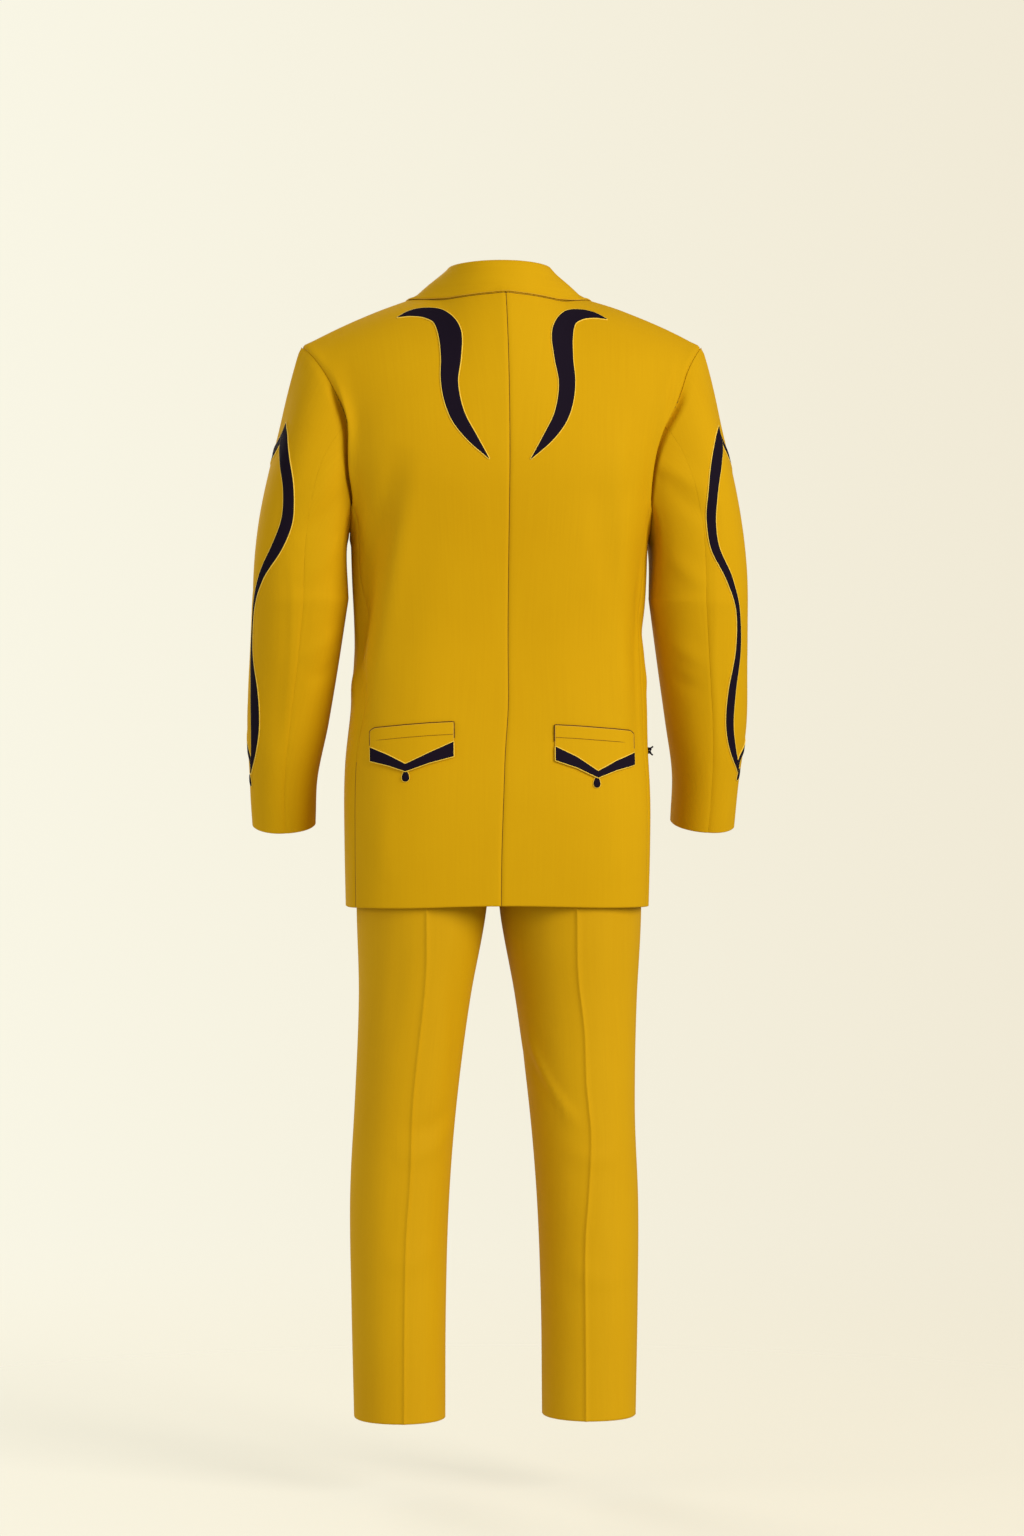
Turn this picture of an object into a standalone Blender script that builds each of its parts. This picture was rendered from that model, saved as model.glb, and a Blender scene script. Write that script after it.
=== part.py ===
"""A western suit of jacket and trousers, worn and hollow, built from named sizes.

Metres, +Z up. The suit faces -Y, and the wearer's left is +X. Heights in the tables are
measured from the floor. The origin is the middle of the shoulders, where the suit is held.
"""

import bisect
import math

import bmesh
import bpy
import numpy as np
from mathutils import Vector
from mathutils.bvhtree import BVHTree

SIDES = (("left", 1), ("right", -1))

HELD_AT = 1.500          # height of the origin above the floor
JACKET_CLOTH = 0.0020    # wall of the jacket
TROUSER_CLOTH = 0.0018   # wall of the trousers
TRIM = 0.0012            # dark trim laid on the cloth
SEAM = 0.0003            # space between two pieces at a seam
LAID = 0.0006            # how far a piece that lies on a panel starts above it

JACKET_HEM = 0.759
CHEST = 1.285            # where the armhole meets the side panel
UNDERARM_DIP = 0.045     # how far the armhole drops below that under the arm
CUFF = 0.859
FORK = 0.837             # where the trouser legs part
TROUSER_WAIST = 1.062    # lower edge of the waistband
WAISTBAND = 0.038
TROUSER_HEM = 0.100

NECK_POINT = np.array((0.075, -0.010, 1.560))
NECK_BACK = np.array((0.0, 0.070, 1.566))
SHOULDER_TIP = np.array((0.258, -0.005, 1.478))
NECK_SHARE = 0.33        # share of the back's columns that end at the neck
BREAK_HEIGHT = 1.180     # where the lapels start to roll
OVERLAP = 0.018          # how far each front runs past the middle

# Horizontal sections of the jacket's body. The squareness is the power of a superellipse.
BODY = (
    # height, half width, back depth, front depth, back squareness, front squareness
    (0.759, 0.1945, 0.114, 0.134, 3.1, 2.8),
    (0.840, 0.1962, 0.121, 0.134, 3.1, 2.7),
    (0.920, 0.1965, 0.124, 0.133, 3.0, 2.6),
    (1.010, 0.1915, 0.117, 0.128, 2.9, 2.4),
    (1.100, 0.1870, 0.109, 0.122, 2.8, 2.3),
    (1.190, 0.1905, 0.116, 0.124, 2.8, 2.3),
    (1.285, 0.1930, 0.128, 0.126, 2.8, 2.3),
)

# Where the two side seams run, as shares of the way round from centre back to centre front.
SIDE_SEAMS = (
    # height, side back seam, side front seam
    (0.759, 0.385, 0.640),
    (0.920, 0.385, 0.640),
    (1.100, 0.395, 0.635),
    (1.285, 0.410, 0.620),
)

# Handles of the curves that climb from the chest to the top of the back.
BACK_CLIMB = (
    # across, lower handle y, z, upper handle x, y, z
    (0.00, 0.014, 0.100, 0.000, 0.045, -0.066),
    (0.16, 0.016, 0.100, 0.000, 0.058, -0.046),
    (0.33, 0.020, 0.100, 0.000, 0.095, -0.014),
    (0.65, 0.027, 0.100, -0.004, 0.080, -0.009),
    (1.00, 0.035, 0.085, -0.023, 0.070, -0.023),
)

# The same for the front, from the roll line to the armhole.
FRONT_CLIMB = (
    # across, lower handle x, y, z, upper handle x, y, z
    (0.00, 0.022, -0.004, 0.090, -0.014, -0.055, -0.050),
    (0.50, 0.008, -0.016, 0.090, -0.020, -0.070, -0.016),
    (1.00, -0.006, -0.030, 0.075, -0.040, -0.060, -0.022),
)

# Rings of the sleeve below the cap. A ring leans so that the cuff is square to the arm.
SLEEVE = (
    # height, centre x, centre y, half width, half depth, lean
    (0.859, 0.2690, -0.074, 0.0400, 0.0500, 0.22),
    (0.922, 0.2718, -0.060, 0.0418, 0.0540, 0.22),
    (0.999, 0.2705, -0.040, 0.0510, 0.0570, 0.20),
    (1.077, 0.2640, -0.020, 0.0560, 0.0610, 0.14),
    (1.155, 0.2575, -0.004, 0.0605, 0.0650, 0.06),
)

# The way the cloth of the sleeve leaves the armhole, by share of the way round it:
# from the shoulder tip down the back, under the arm and up the front.
SLEEVE_HEAD = (
    # round, x, y, z
    (0.00, 0.30, 0.00, -0.95),
    (0.15, 0.55, 0.25, -0.80),
    (0.25, 0.65, 0.20, -0.73),
    (0.40, 0.55, 0.12, -0.50),
    (0.50, 0.45, 0.00, -0.30),
    (0.60, 0.55, -0.12, -0.50),
    (0.75, 0.65, -0.20, -0.73),
    (0.85, 0.55, -0.25, -0.80),
    (1.00, 0.30, 0.00, -0.95),
)

# Rings of a trouser leg. The crease is how far the cloth stands out at front and back.
LEG = (
    # height, centre x, centre y, half width, half depth, crease
    (0.100, 0.1240, 0.010, 0.0580, 0.0690, 0.004),
    (0.240, 0.1250, 0.006, 0.0600, 0.0710, 0.004),
    (0.376, 0.1235, 0.000, 0.0630, 0.0740, 0.004),
    (0.500, 0.1160, -0.004, 0.0655, 0.0780, 0.004),
    (0.636, 0.1065, -0.006, 0.0735, 0.0900, 0.004),
    (0.746, 0.0985, -0.004, 0.0855, 0.1020, 0.004),
    (0.837, 0.0940, 0.000, 0.0900, 0.1060, 0.003),
)

# Half sections of the trousers above the fork.
HIPS = (
    # height, half width, centre y, back depth, front depth, crease
    (0.837, 0.1840, 0.000, 0.1060, 0.1060, 0.003),
    (0.900, 0.1820, 0.000, 0.1050, 0.1040, 0.002),
    (0.980, 0.1740, 0.000, 0.0980, 0.1010, 0.001),
    (1.062, 0.1600, 0.000, 0.0900, 0.0980, 0.000),
)

# The fork seam from between the legs up to the waist: back and front.
FORK_SEAM = {"back": ((0.078, 0.842), (0.100, 0.925)), "front": ((-0.074, 0.842), (-0.108, 0.930))}

# Large soft folds, raised on the cloth along a line from one point to another.
FOLDS = (
    # piece, x, height, to x, to height, half breadth, rise
    ("back", 0.150, 1.390, 0.166, 1.060, 0.020, 0.0050),
    ("back", -0.164, 1.400, -0.150, 1.080, 0.024, 0.0050),
    ("back", 0.128, 1.260, 0.182, 1.090, 0.022, -0.0045),
    ("back", -0.120, 1.300, -0.166, 1.120, 0.024, -0.0035),
    ("leg", -0.046, 0.620, -0.108, 0.480, 0.014, 0.0035),
    ("leg", 0.060, 0.470, 0.130, 0.430, 0.012, 0.0030),
)

# The tapered scroll on the upper back: its middle line and half breadth.
SCROLL = (
    # along, from centre, height, half breadth
    (0.00, 0.136, 1.520, 0.0008),
    (0.13, 0.110, 1.529, 0.0062),
    (0.26, 0.084, 1.519, 0.0105),
    (0.38, 0.073, 1.496, 0.0140),
    (0.52, 0.077, 1.460, 0.0120),
    (0.66, 0.076, 1.425, 0.0086),
    (0.80, 0.062, 1.388, 0.0080),
    (0.91, 0.043, 1.360, 0.0048),
    (1.00, 0.026, 1.337, 0.0008),
)

# The wavy strip on the sleeve: degrees round from the outer line towards the back.
STRIP = (
    # along, height, degrees, half breadth
    (0.00, 1.384, 36.0, 0.0010),
    (0.10, 1.335, 50.0, 0.0046),
    (0.22, 1.285, 65.0, 0.0052),
    (0.32, 1.245, 69.0, 0.0072),
    (0.42, 1.205, 55.0, 0.0070),
    (0.52, 1.155, 28.0, 0.0048),
    (0.64, 1.100, 24.0, 0.0045),
    (0.76, 1.050, 33.0, 0.0056),
    (0.85, 1.005, 42.0, 0.0062),
    (0.93, 0.965, 30.0, 0.0046),
    (1.00, 0.936, 15.0, 0.0022),
)
STRIP_MIRROR = 5.0       # degrees about which the front branch mirrors the back one

# The flap of a back pocket, from its inner end to its outer one.
FLAP = (
    # along, from centre, top, band top, bottom
    (0.00, 0.0690, 0.9945, 0.9680, 0.9490),
    (0.54, 0.1240, 0.9910, 0.9375, 0.9285),
    (1.00, 0.1710, 0.9865, 0.9605, 0.9430),
)
DROP = (0.1240, 0.9215)      # middle of the drop below the flap's point
DROP_SIZE = (0.0046, 0.0062)
BUTTON_HEIGHTS = (1.165, 1.045)
BUTTON_RADIUS = 0.0095
BUTTON_THICKNESS = 0.0030
WAIST_BUTTON = (0.0070, 0.0025)   # radius and thickness
KNOT_PLACE = (-0.190, -0.020, 0.963)
KNOT_SIZE = (0.0028, 0.0042, 0.0080)
TAB_HEIGHT = 0.924
TAB_SIZE = (0.0050, 0.0085)
DROP_THICKNESS = 0.0026
TAB_THICKNESS = 0.0024

# How far the lapel reaches out from its roll line.
LAPEL = (
    # height, breadth
    (1.188, 0.004),
    (1.240, 0.027),
    (1.320, 0.054),
    (1.400, 0.076),
    (1.458, 0.088),
)
GORGE_HEIGHT = 1.468     # top of the lapel at the roll line
RIGHT_LAPEL_START = 1.236

# The collar, from centre back to its end at the front: where its fold stands above the
# neck seam, and where its edge lies, with the way the edge looks out from the body.
COLLAR = (
    # round, fold x, y, z, edge x, y, z, out x, y, z
    (0.00, 0.000, -0.008, 0.028, 0.000, 0.080, 1.5535, 0.0, 1.0, 0.25),
    (0.25, -0.004, -0.007, 0.028, 0.058, 0.066, 1.5520, 0.2, 0.8, 0.5),
    (0.50, -0.009, -0.002, 0.026, 0.116, -0.010, 1.5440, 0.3, 0.0, 1.0),
    (0.75, -0.006, -0.009, 0.016, 0.128, -0.055, 1.5150, 0.2, -0.8, 0.6),
    (1.00, -0.003, -0.009, 0.007, 0.116, -0.105, 1.4760, 0.0, -1.0, 0.1),
)
COLLAR_CLOTH = 0.0016

CLOTH_COLOUR = (0.610, 0.330, 0.004)
TRIM_COLOUR = (0.016, 0.010, 0.022)


def through(rows, at):
    """The other columns' values on a smooth curve through rows whose first column grows."""
    keys = [row[0] for row in rows]
    at = min(max(at, keys[0]), keys[-1])
    i = min(max(bisect.bisect_right(keys, at) - 1, 0), len(rows) - 2)
    values = [np.array(row[1:], float) for row in rows]

    def slope(k):
        low = max(k - 1, 0)
        high = min(k + 1, len(rows) - 1)
        return (values[high] - values[low]) / (keys[high] - keys[low])

    width = keys[i + 1] - keys[i]
    t = (at - keys[i]) / width
    return (
        (2 * t**3 - 3 * t**2 + 1) * values[i]
        + (t**3 - 2 * t**2 + t) * width * slope(i)
        + (3 * t**2 - 2 * t**3) * values[i + 1]
        + (t**3 - t**2) * width * slope(i + 1)
    )


def bezier(a, b, c, d, t):
    s = 1 - t
    return s**3 * a + 3 * s * s * t * b + 3 * s * t * t * c + t**3 * d


def signed_power(value, power):
    return math.copysign(abs(value) ** power, value)


RING_STEPS = 120
ring_store = {}


def body_ring(height):
    """Points of the body's left half section, from centre back to centre front, and their
    shares of its length."""
    key = round(height, 5)
    if key not in ring_store:
        half_width, back, front, back_square, front_square = through(BODY, height)
        points = []
        for k in range(RING_STEPS + 1):
            turn = math.pi * k / RING_STEPS
            square = back_square if turn < math.pi / 2 else front_square
            depth = back if turn < math.pi / 2 else front
            points.append((
                half_width * abs(math.sin(turn)) ** (2 / square),
                depth * signed_power(math.cos(turn), 2 / square),
                height,
            ))
        points = np.array(points)
        steps = np.linalg.norm(np.diff(points, axis=0), axis=1)
        ring_store[key] = (points, np.concatenate([[0], np.cumsum(steps)]) / steps.sum())
    return ring_store[key]


def body_point(share, height):
    points, shares = body_ring(height)
    return np.array([np.interp(share, shares, points[:, k]) for k in range(3)])


def share_at_front(x, height):
    """The share at which the front half of the section has this x."""
    points, shares = body_ring(height)
    front = np.arange(len(points)) > len(points) * 0.6
    return float(np.interp(-x, -points[front, 0], shares[front]))


def fold_rise(piece, x, height):
    """How far the large folds move the cloth outwards at a point."""
    rise = 0.0
    for name, x0, z0, x1, z1, breadth, size in FOLDS:
        if name != piece:
            continue
        run = np.array((x1 - x0, z1 - z0))
        away = np.array((x - x0, height - z0))
        along = float(away @ run / (run @ run))
        side = float(abs(away[0] * run[1] - away[1] * run[0]) / math.hypot(*run))
        if -0.2 < along < 1.2:
            ends = math.sin(math.pi * (along + 0.2) / 1.4) ** 2
            rise += size * ends * math.exp(-((side / breadth) ** 2))
    return rise


# Share of a back or front panel's rows that lie below the chest.
LOWER = 0.62


def seam_height(v):
    return JACKET_HEM + (CHEST - JACKET_HEM) * v / LOWER


def back_point(u, v):
    """The back: u from centre back to the side seam or armhole, v from hem to top."""
    if v <= LOWER:
        height = seam_height(v)
        return body_point(u * through(SIDE_SEAMS, height)[0], height)
    start = body_point(u * through(SIDE_SEAMS, CHEST)[0], CHEST)
    if u < NECK_SHARE:
        turn = math.pi / 2 * u / NECK_SHARE
        end = NECK_BACK + (NECK_POINT - NECK_BACK) * np.array(
            (math.sin(turn), 1 - math.cos(turn), 1 - math.cos(turn)))
    else:
        along = (u - NECK_SHARE) / (1 - NECK_SHARE)
        end = shoulder_point(along)
    low_y, low_z, high_x, high_y, high_z = through(BACK_CLIMB, u)
    return bezier(start, start + (0, low_y, low_z), end + (high_x, high_y, high_z), end,
                  (v - LOWER) / (1 - LOWER))


def shoulder_point(along):
    """The shoulder seam, from the neck point to the tip, with a slight hollow and a round tip."""
    point = NECK_POINT + (SHOULDER_TIP - NECK_POINT) * along
    return point + (0, 0, 0.006 * math.sin(math.pi * along) * along)


def roll_x(height):
    """How far from the middle the front edge or the roll line of the lapel is."""
    if height <= BREAK_HEIGHT:
        return -OVERLAP
    rise = (height - BREAK_HEIGHT) / (NECK_POINT[2] - BREAK_HEIGHT)
    return -OVERLAP + (NECK_POINT[0] + OVERLAP) * rise


def front_low(u, height):
    """The front at a height below the chest, whose inner end may lie past the middle."""
    inner = roll_x(height)
    seam = through(SIDE_SEAMS, height)[1]
    start = 2 - share_at_front(-inner, height) if inner < 0 else share_at_front(inner, height)
    share = start + (seam - start) * u
    point = body_point(2 - share, height) if share > 1 else body_point(share, height)
    return point * (-1, 1, 1) if share > 1 else point


def front_point(u, v):
    """The front: u from its edge or roll line to the side seam or armhole, v upwards."""
    if v <= LOWER:
        return front_low(u, seam_height(v))
    start = front_low(u, CHEST)
    end = shoulder_point(u)
    handles = through(FRONT_CLIMB, u)
    return bezier(start, start + handles[:3], end + handles[3:], end,
                  (v - LOWER) / (1 - LOWER))


def over_front(point):
    """The left front lies over the right one near the middle."""
    near = min(max((0.085 - point[0]) / 0.045, 0), 1)
    return (JACKET_CLOTH + 3 * SEAM) * near * near * (3 - 2 * near)


def side_point(u, v):
    """The side panel: u from the side back seam to the side front one."""
    top = CHEST - UNDERARM_DIP * math.sin(math.pi * u)
    height = JACKET_HEM + (top - JACKET_HEM) * v
    back, front = through(SIDE_SEAMS, height)
    return body_point(back + (front - back) * u, height)


BACK_ROUND = 0.40    # share of the armhole that the back's edge takes
SIDE_ROUND = 0.20


def armhole_point(around):
    """The armhole, by share of the way round from the shoulder tip down the back."""
    around = around % 1.0
    if around <= BACK_ROUND:
        return back_point(1, 1 - (1 - LOWER) * around / BACK_ROUND)
    if around <= BACK_ROUND + SIDE_ROUND:
        return side_point((around - BACK_ROUND) / SIDE_ROUND, 1)
    return front_point(1, LOWER + (1 - LOWER) * (around - BACK_ROUND - SIDE_ROUND) / BACK_ROUND)


HEAD = 0.42          # share of the sleeve's rows above its highest ring
SLEEVE_TOP = SLEEVE[-1][0]


def sleeve_ring(around, height):
    centre_x, centre_y, half_width, half_depth, lean = through(SLEEVE, height)
    turn = 2 * math.pi * around
    y = half_depth * signed_power(math.sin(turn), 0.92)
    return np.array((centre_x + half_width * signed_power(math.cos(turn), 0.92),
                     centre_y + y, height - lean * y))


def sleeve_point(around, down):
    """The sleeve: around from its outer line over the back, down from armhole to cuff."""
    if down >= HEAD:
        height = SLEEVE_TOP + (CUFF - SLEEVE_TOP) * (down - HEAD) / (1 - HEAD)
        return sleeve_ring(around, height)
    start = armhole_point(around)
    end = sleeve_ring(around, SLEEVE_TOP)
    reach = np.linalg.norm(end - start)
    leave = through(SLEEVE_HEAD, around % 1.0) * reach
    arrive = np.array((0.0, 0.0, -reach))
    t = down / HEAD
    return ((2 * t**3 - 3 * t**2 + 1) * start + (t**3 - 2 * t**2 + t) * leave
            + (3 * t**2 - 2 * t**3) * end + (t**3 - t**2) * arrive)


LEG_ROWS_SHARE = 0.76    # share of the trousers' rows below the fork


def crease_rise(turn, size):
    """A pressed crease where the ring turns through front or back."""
    return size * math.exp(-((math.cos(turn) / 0.20) ** 2))


def leg_point(face, u, v):
    """A trouser panel: u from the inner seam to the outer one, v from hem to waist."""
    way = 1 if face == "back" else -1
    turn = math.pi * (1 - u)
    if v <= LEG_ROWS_SHARE:
        height = TROUSER_HEM + (FORK - TROUSER_HEM) * v / LEG_ROWS_SHARE
        x, y, half_width, half_depth, crease = through(LEG, height)
        depth = half_depth * math.sin(turn) ** 0.95 + crease_rise(turn, crease)
        return np.array((x + half_width * signed_power(math.cos(turn), 0.95),
                         y + way * depth, height))
    rise = (v - LEG_ROWS_SHARE) / (1 - LEG_ROWS_SHARE)
    height = FORK + (TROUSER_WAIST - FORK) * rise
    half_width, middle, back, front, crease = through(HIPS, height)
    low, high = FORK_SEAM[face]
    top = through(HIPS, TROUSER_WAIST)[2 if face == "back" else 3]
    inner = bezier(np.array((0, FORK)), np.array(low), np.array(high),
                   np.array((way * top, TROUSER_WAIST)), rise)
    blend = min(rise / 0.45, 1)
    blend = blend * blend * (3 - 2 * blend)
    leg = through(LEG, FORK)
    depth = leg[3] * math.sin(turn) ** 0.95 + crease_rise(turn, crease)
    low_ring = np.array((leg[0] + leg[2] * signed_power(math.cos(turn), 0.95), way * depth, 0))
    quarter = math.pi / 2 * u
    full = back if face == "back" else front
    high_ring = np.array((half_width * math.sin(quarter) ** 0.8,
                          way * full * math.cos(quarter) ** 0.8, 0))
    point = low_ring * (1 - blend) + high_ring * blend
    first = np.array((leg[0] - leg[2], 0)) * (1 - blend) + np.array((0, way * full)) * blend
    fade = (1 - u) ** 2
    point[:2] += fade * (np.array((0, inner[0])) - first)
    point[2] = inner[1] * fade + height * (1 - fade)
    point[0] = max(point[0], 0.0)
    return point


def clear_scene():
    for item in list(bpy.data.objects):
        bpy.data.objects.remove(item, do_unlink=True)


def material(name, colour, roughness):
    made = bpy.data.materials.new(name)
    made.use_nodes = True
    shader = made.node_tree.nodes["Principled BSDF"]
    shader.inputs["Base Color"].default_value = (*colour, 1)
    shader.inputs["Roughness"].default_value = roughness
    shader.inputs["Metallic"].default_value = 0
    return made


def add_mesh(name, points, faces, finish, collection):
    """A closed mesh object with its faces turned outwards and a material of its own."""
    mesh = bpy.data.meshes.new(name)
    mesh.from_pydata([tuple(p) for p in points], [], faces)
    work = bmesh.new()
    work.from_mesh(mesh)
    bmesh.ops.triangulate(work, faces=work.faces[:], quad_method="SHORT_EDGE")
    bmesh.ops.recalc_face_normals(work, faces=work.faces[:])
    if work.calc_volume(signed=True) < 0:
        bmesh.ops.reverse_faces(work, faces=work.faces[:])
    work.to_mesh(mesh)
    work.free()
    mesh.materials.append(material(name, *finish))
    mesh.shade_smooth()
    made = bpy.data.objects.new(name, mesh)
    collection.objects.link(made)
    return made


def wall_faces(rows, columns):
    """Faces of a closed wall: the outer grid, the inner grid and the four rims."""
    inner = rows * columns

    def at(r, c):
        return r * columns + c

    faces = []
    for r in range(rows - 1):
        for c in range(columns - 1):
            quad = [at(r, c), at(r, c + 1), at(r + 1, c + 1), at(r + 1, c)]
            faces.append(quad)
            faces.append([inner + k for k in reversed(quad)])
    rim = [at(0, c) for c in range(columns)] + [at(r, columns - 1) for r in range(1, rows)]
    rim += [at(rows - 1, c) for c in range(columns - 2, -1, -1)]
    rim += [at(r, 0) for r in range(rows - 2, 0, -1)]
    for a, b in zip(rim, rim[1:] + rim[:1]):
        faces.append([b, a, inner + a, inner + b])
    return faces


def unit(vectors):
    lengths = np.linalg.norm(vectors, axis=-1, keepdims=True)
    return vectors / np.maximum(lengths, 1e-12)


def spread(values):
    """Differences along a grid's axis, one-sided at its ends."""
    return np.gradient(values, axis=0)


def grid_normals(points, turn):
    """Normals of a grid of points whose rows climb, turned outwards by 1 or -1."""
    up = spread(points)
    across = spread(points.transpose(1, 0, 2)).transpose(1, 0, 2)
    return unit(np.cross(up, across)) * turn


def grid(function, us, vs):
    return np.array([[function(u, v) for u in us] for v in vs])


def even(start, end, steps):
    return np.linspace(start, end, steps + 1)


def inset(count):
    """Nothing at the first and last of a row of points, half beside them, all between."""
    places = np.arange(count)
    return np.minimum(np.minimum(places, places[::-1]) / 2, 1)


class Cloth:
    """A cut piece before sewing: its middle surface, its normals and its wall."""

    def __init__(self, name, points, turn, thickness, side=1, fold=None):
        self.name = name
        self.thickness = thickness
        self.normals = grid_normals(points, turn)
        if fold:
            rises = [[fold_rise(fold, side * p[0], p[2]) for p in row] for row in points]
            rises = np.array(rises) * np.outer(*(inset(count) for count in points.shape[:2]))
            points = points + self.normals * rises[:, :, None]
        mirror = np.array((side, 1, 1))
        self.points = points * mirror
        self.normals = self.normals * mirror

    def rim(self):
        rows, columns = self.points.shape[:2]
        return [(r, c) for r in range(rows) for c in range(columns)
                if r in (0, rows - 1) or c in (0, columns - 1)]


def place_key(point):
    return tuple(int(round(v * 1e5)) for v in point)


SHARPEST = 0.55      # least share of a normal kept at a folded seam


def sew(pieces):
    """Turn the walls of the pieces that share a seam the same way, and part them there."""
    meet = {}
    for piece in pieces:
        for r, c in piece.rim():
            meet.setdefault(place_key(piece.points[r, c]), []).append(piece.normals[r, c])
    for piece in pieces:
        shifts = np.zeros_like(piece.points)
        leans = piece.normals.copy()
        rows, columns = piece.points.shape[:2]
        for r, c in piece.rim():
            shared = unit(np.sum(meet[place_key(piece.points[r, c])], axis=0))
            leans[r, c] = shared / max(float(shared @ piece.normals[r, c]), SHARPEST)
            for edge, step in ((r == 0, (1, 0)), (r == rows - 1, (-1, 0)),
                               (c == 0, (0, 1)), (c == columns - 1, (0, -1))):
                if edge:
                    way = piece.points[r + step[0], c + step[1]] - piece.points[r, c]
                    shifts[r, c] += unit(way) * SEAM / 2
        piece.leans = leans
        piece.points = piece.points + shifts


def build_cloth(piece, finish, collection):
    rows, columns = piece.points.shape[:2]
    half = piece.thickness / 2
    outer = piece.points + piece.leans * half
    inner = piece.points - piece.leans * half
    points = np.concatenate([outer.reshape(-1, 3), inner.reshape(-1, 3)])
    return add_mesh(piece.name, points, wall_faces(rows, columns), finish, collection)


def tree_of(objects):
    """A search tree over the faces of several solids."""
    points = []
    faces = []
    for item in objects:
        start = len(points)
        points += [vertex.co.copy() for vertex in item.data.vertices]
        faces += [[start + k for k in face.vertices] for face in item.data.polygons]
    return BVHTree.FromPolygons(points, faces)


REACH = 0.06         # how far outside a surface the search for it starts
OUTSIDE = 0.12       # depth from which points in front or behind are dropped on the cloth


def on_surface(tree, point, out):
    """The point of a surface that lies against a direction that looks out from it."""
    out = Vector(out).normalized()
    hit = tree.ray_cast(Vector(point) + out * REACH, -out)[0]
    if hit is None:
        hit = tree.find_nearest(Vector(point))[0]
    return np.array(hit)


def bulge(tree, points, normals):
    """How far the surface rises above the straight runs from each point to its neighbours."""
    rows, columns = points.shape[:2]
    rise = np.zeros((rows, columns))
    for r in range(rows):
        for c in range(columns):
            for down, across in ((0, 1), (1, 0), (1, 1), (1, -1)):
                r2, c2 = r + down, c + across
                if r2 >= rows or not 0 <= c2 < columns:
                    continue
                for share in (0.25, 0.5, 0.75):
                    middle = points[r, c] * (1 - share) + points[r2, c2] * share
                    way = unit(normals[r, c] + normals[r2, c2])
                    over = float((on_surface(tree, middle, way) - middle) @ way)
                    rise[r, c] = max(rise[r, c], over)
                    rise[r2, c2] = max(rise[r2, c2], over)
    return rise[:, :, None]


def clearance(tree, points, outs):
    """How far each point has to rise to lie on the surface or above it, between points too."""
    rise = np.zeros(points.shape[:2])
    for r in range(points.shape[0]):
        for c in range(points.shape[1]):
            over = float((on_surface(tree, points[r, c], outs[r, c]) - points[r, c])
                         @ outs[r, c])
            rise[r, c] = min(max(over, 0), 0.012)
    rise = rise[:, :, None]
    return rise + bulge(tree, points + outs * rise, outs).clip(0, 0.010)


def lay(name, tree, points, out, lift, thickness, finish, collection):
    """A closed piece laid on a surface, from a grid of points on it, moved outwards."""
    across = spread(points.transpose(1, 0, 2)).transpose(1, 0, 2)
    normals = unit(np.cross(spread(points), across))
    turn = np.where((normals * out).sum(axis=-1, keepdims=True) < 0, -1, 1)
    normals = normals * turn
    lift = lift + bulge(tree, points, normals)
    low = points + normals * lift
    high = points + normals * (lift + thickness)
    both = np.concatenate([high.reshape(-1, 3), low.reshape(-1, 3)])
    return add_mesh(name, both, wall_faces(*points.shape[:2]), finish, collection)


def ribbon(tree, path, half_breadths, across):
    """A grid across a path on a surface. The path has a point and an outward way at each row."""
    middle = np.array([point for point, _ in path])
    tangents = unit(np.gradient(middle, axis=0))
    rows = []
    for (point, out), tangent, half in zip(path, tangents, half_breadths):
        side = unit(np.cross(tangent, out))
        rows.append([on_surface(tree, point + side * half * k, out) for k in even(-1, 1, across)])
    return np.array(rows)


# How many rows and columns each piece has.
BACK_ROWS = (11, 8)      # below and above the chest
NECK_COLUMNS = 3
SIDE_COLUMNS = 4
FRONT_COLUMNS = 7     # and as many across the back's shoulder
SLEEVE_ROWS = (8, 9)     # cap and arm
LEG_ROWS = (12, 7)
LEG_COLUMNS = 10

JACKET_FINISH = (CLOTH_COLOUR, 0.75)
TROUSER_FINISH = (CLOTH_COLOUR, 0.75)
TRIM_FINISH = (TRIM_COLOUR, 0.6)
Y_OUT = np.array((0.0, 1.0, 0.0))


def jacket_cloth():
    """The main cut pieces of the jacket, sewn so that their walls meet."""
    rows = np.concatenate([even(0, LOWER, BACK_ROWS[0]), even(LOWER, 1, BACK_ROWS[1])[1:]])
    columns = np.concatenate([even(0, NECK_SHARE, NECK_COLUMNS),
                              even(NECK_SHARE, 1, FRONT_COLUMNS)[1:]])
    pieces = []
    for label, side in SIDES:
        back = grid(back_point, columns, rows)
        pieces.append(Cloth("back_" + label, back, 1, JACKET_CLOTH, side, "back"))
        panel = grid(side_point, even(0, 1, SIDE_COLUMNS), even(0, 1, BACK_ROWS[0]))
        pieces.append(Cloth("side_" + label, panel, 1, JACKET_CLOTH, side))
        front = grid(front_point, even(0, 1, FRONT_COLUMNS), rows)
        if side == 1:
            normals = grid_normals(front, -1)
            rises = [[over_front(p) * (p[2] < CHEST + 0.005) for p in row]
                     for row in front]
            front = front + normals * np.array(rises)[:, :, None]
        pieces.append(Cloth("front_" + label, front, -1, JACKET_CLOTH, side))
        downs = np.concatenate([even(0, HEAD, SLEEVE_ROWS[0]), even(HEAD, 1, SLEEVE_ROWS[1])[1:]])
        for part, start in (("sleeve_top_", -0.25), ("sleeve_under_", 0.25)):
            arm = grid(lambda a, d: sleeve_point(a, 1 - d), even(start, start + 0.5, 10),
                       1 - downs[::-1])
            pieces.append(Cloth(part + label, arm, -1, JACKET_CLOTH, side))
    sew(pieces)
    return pieces


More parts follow.
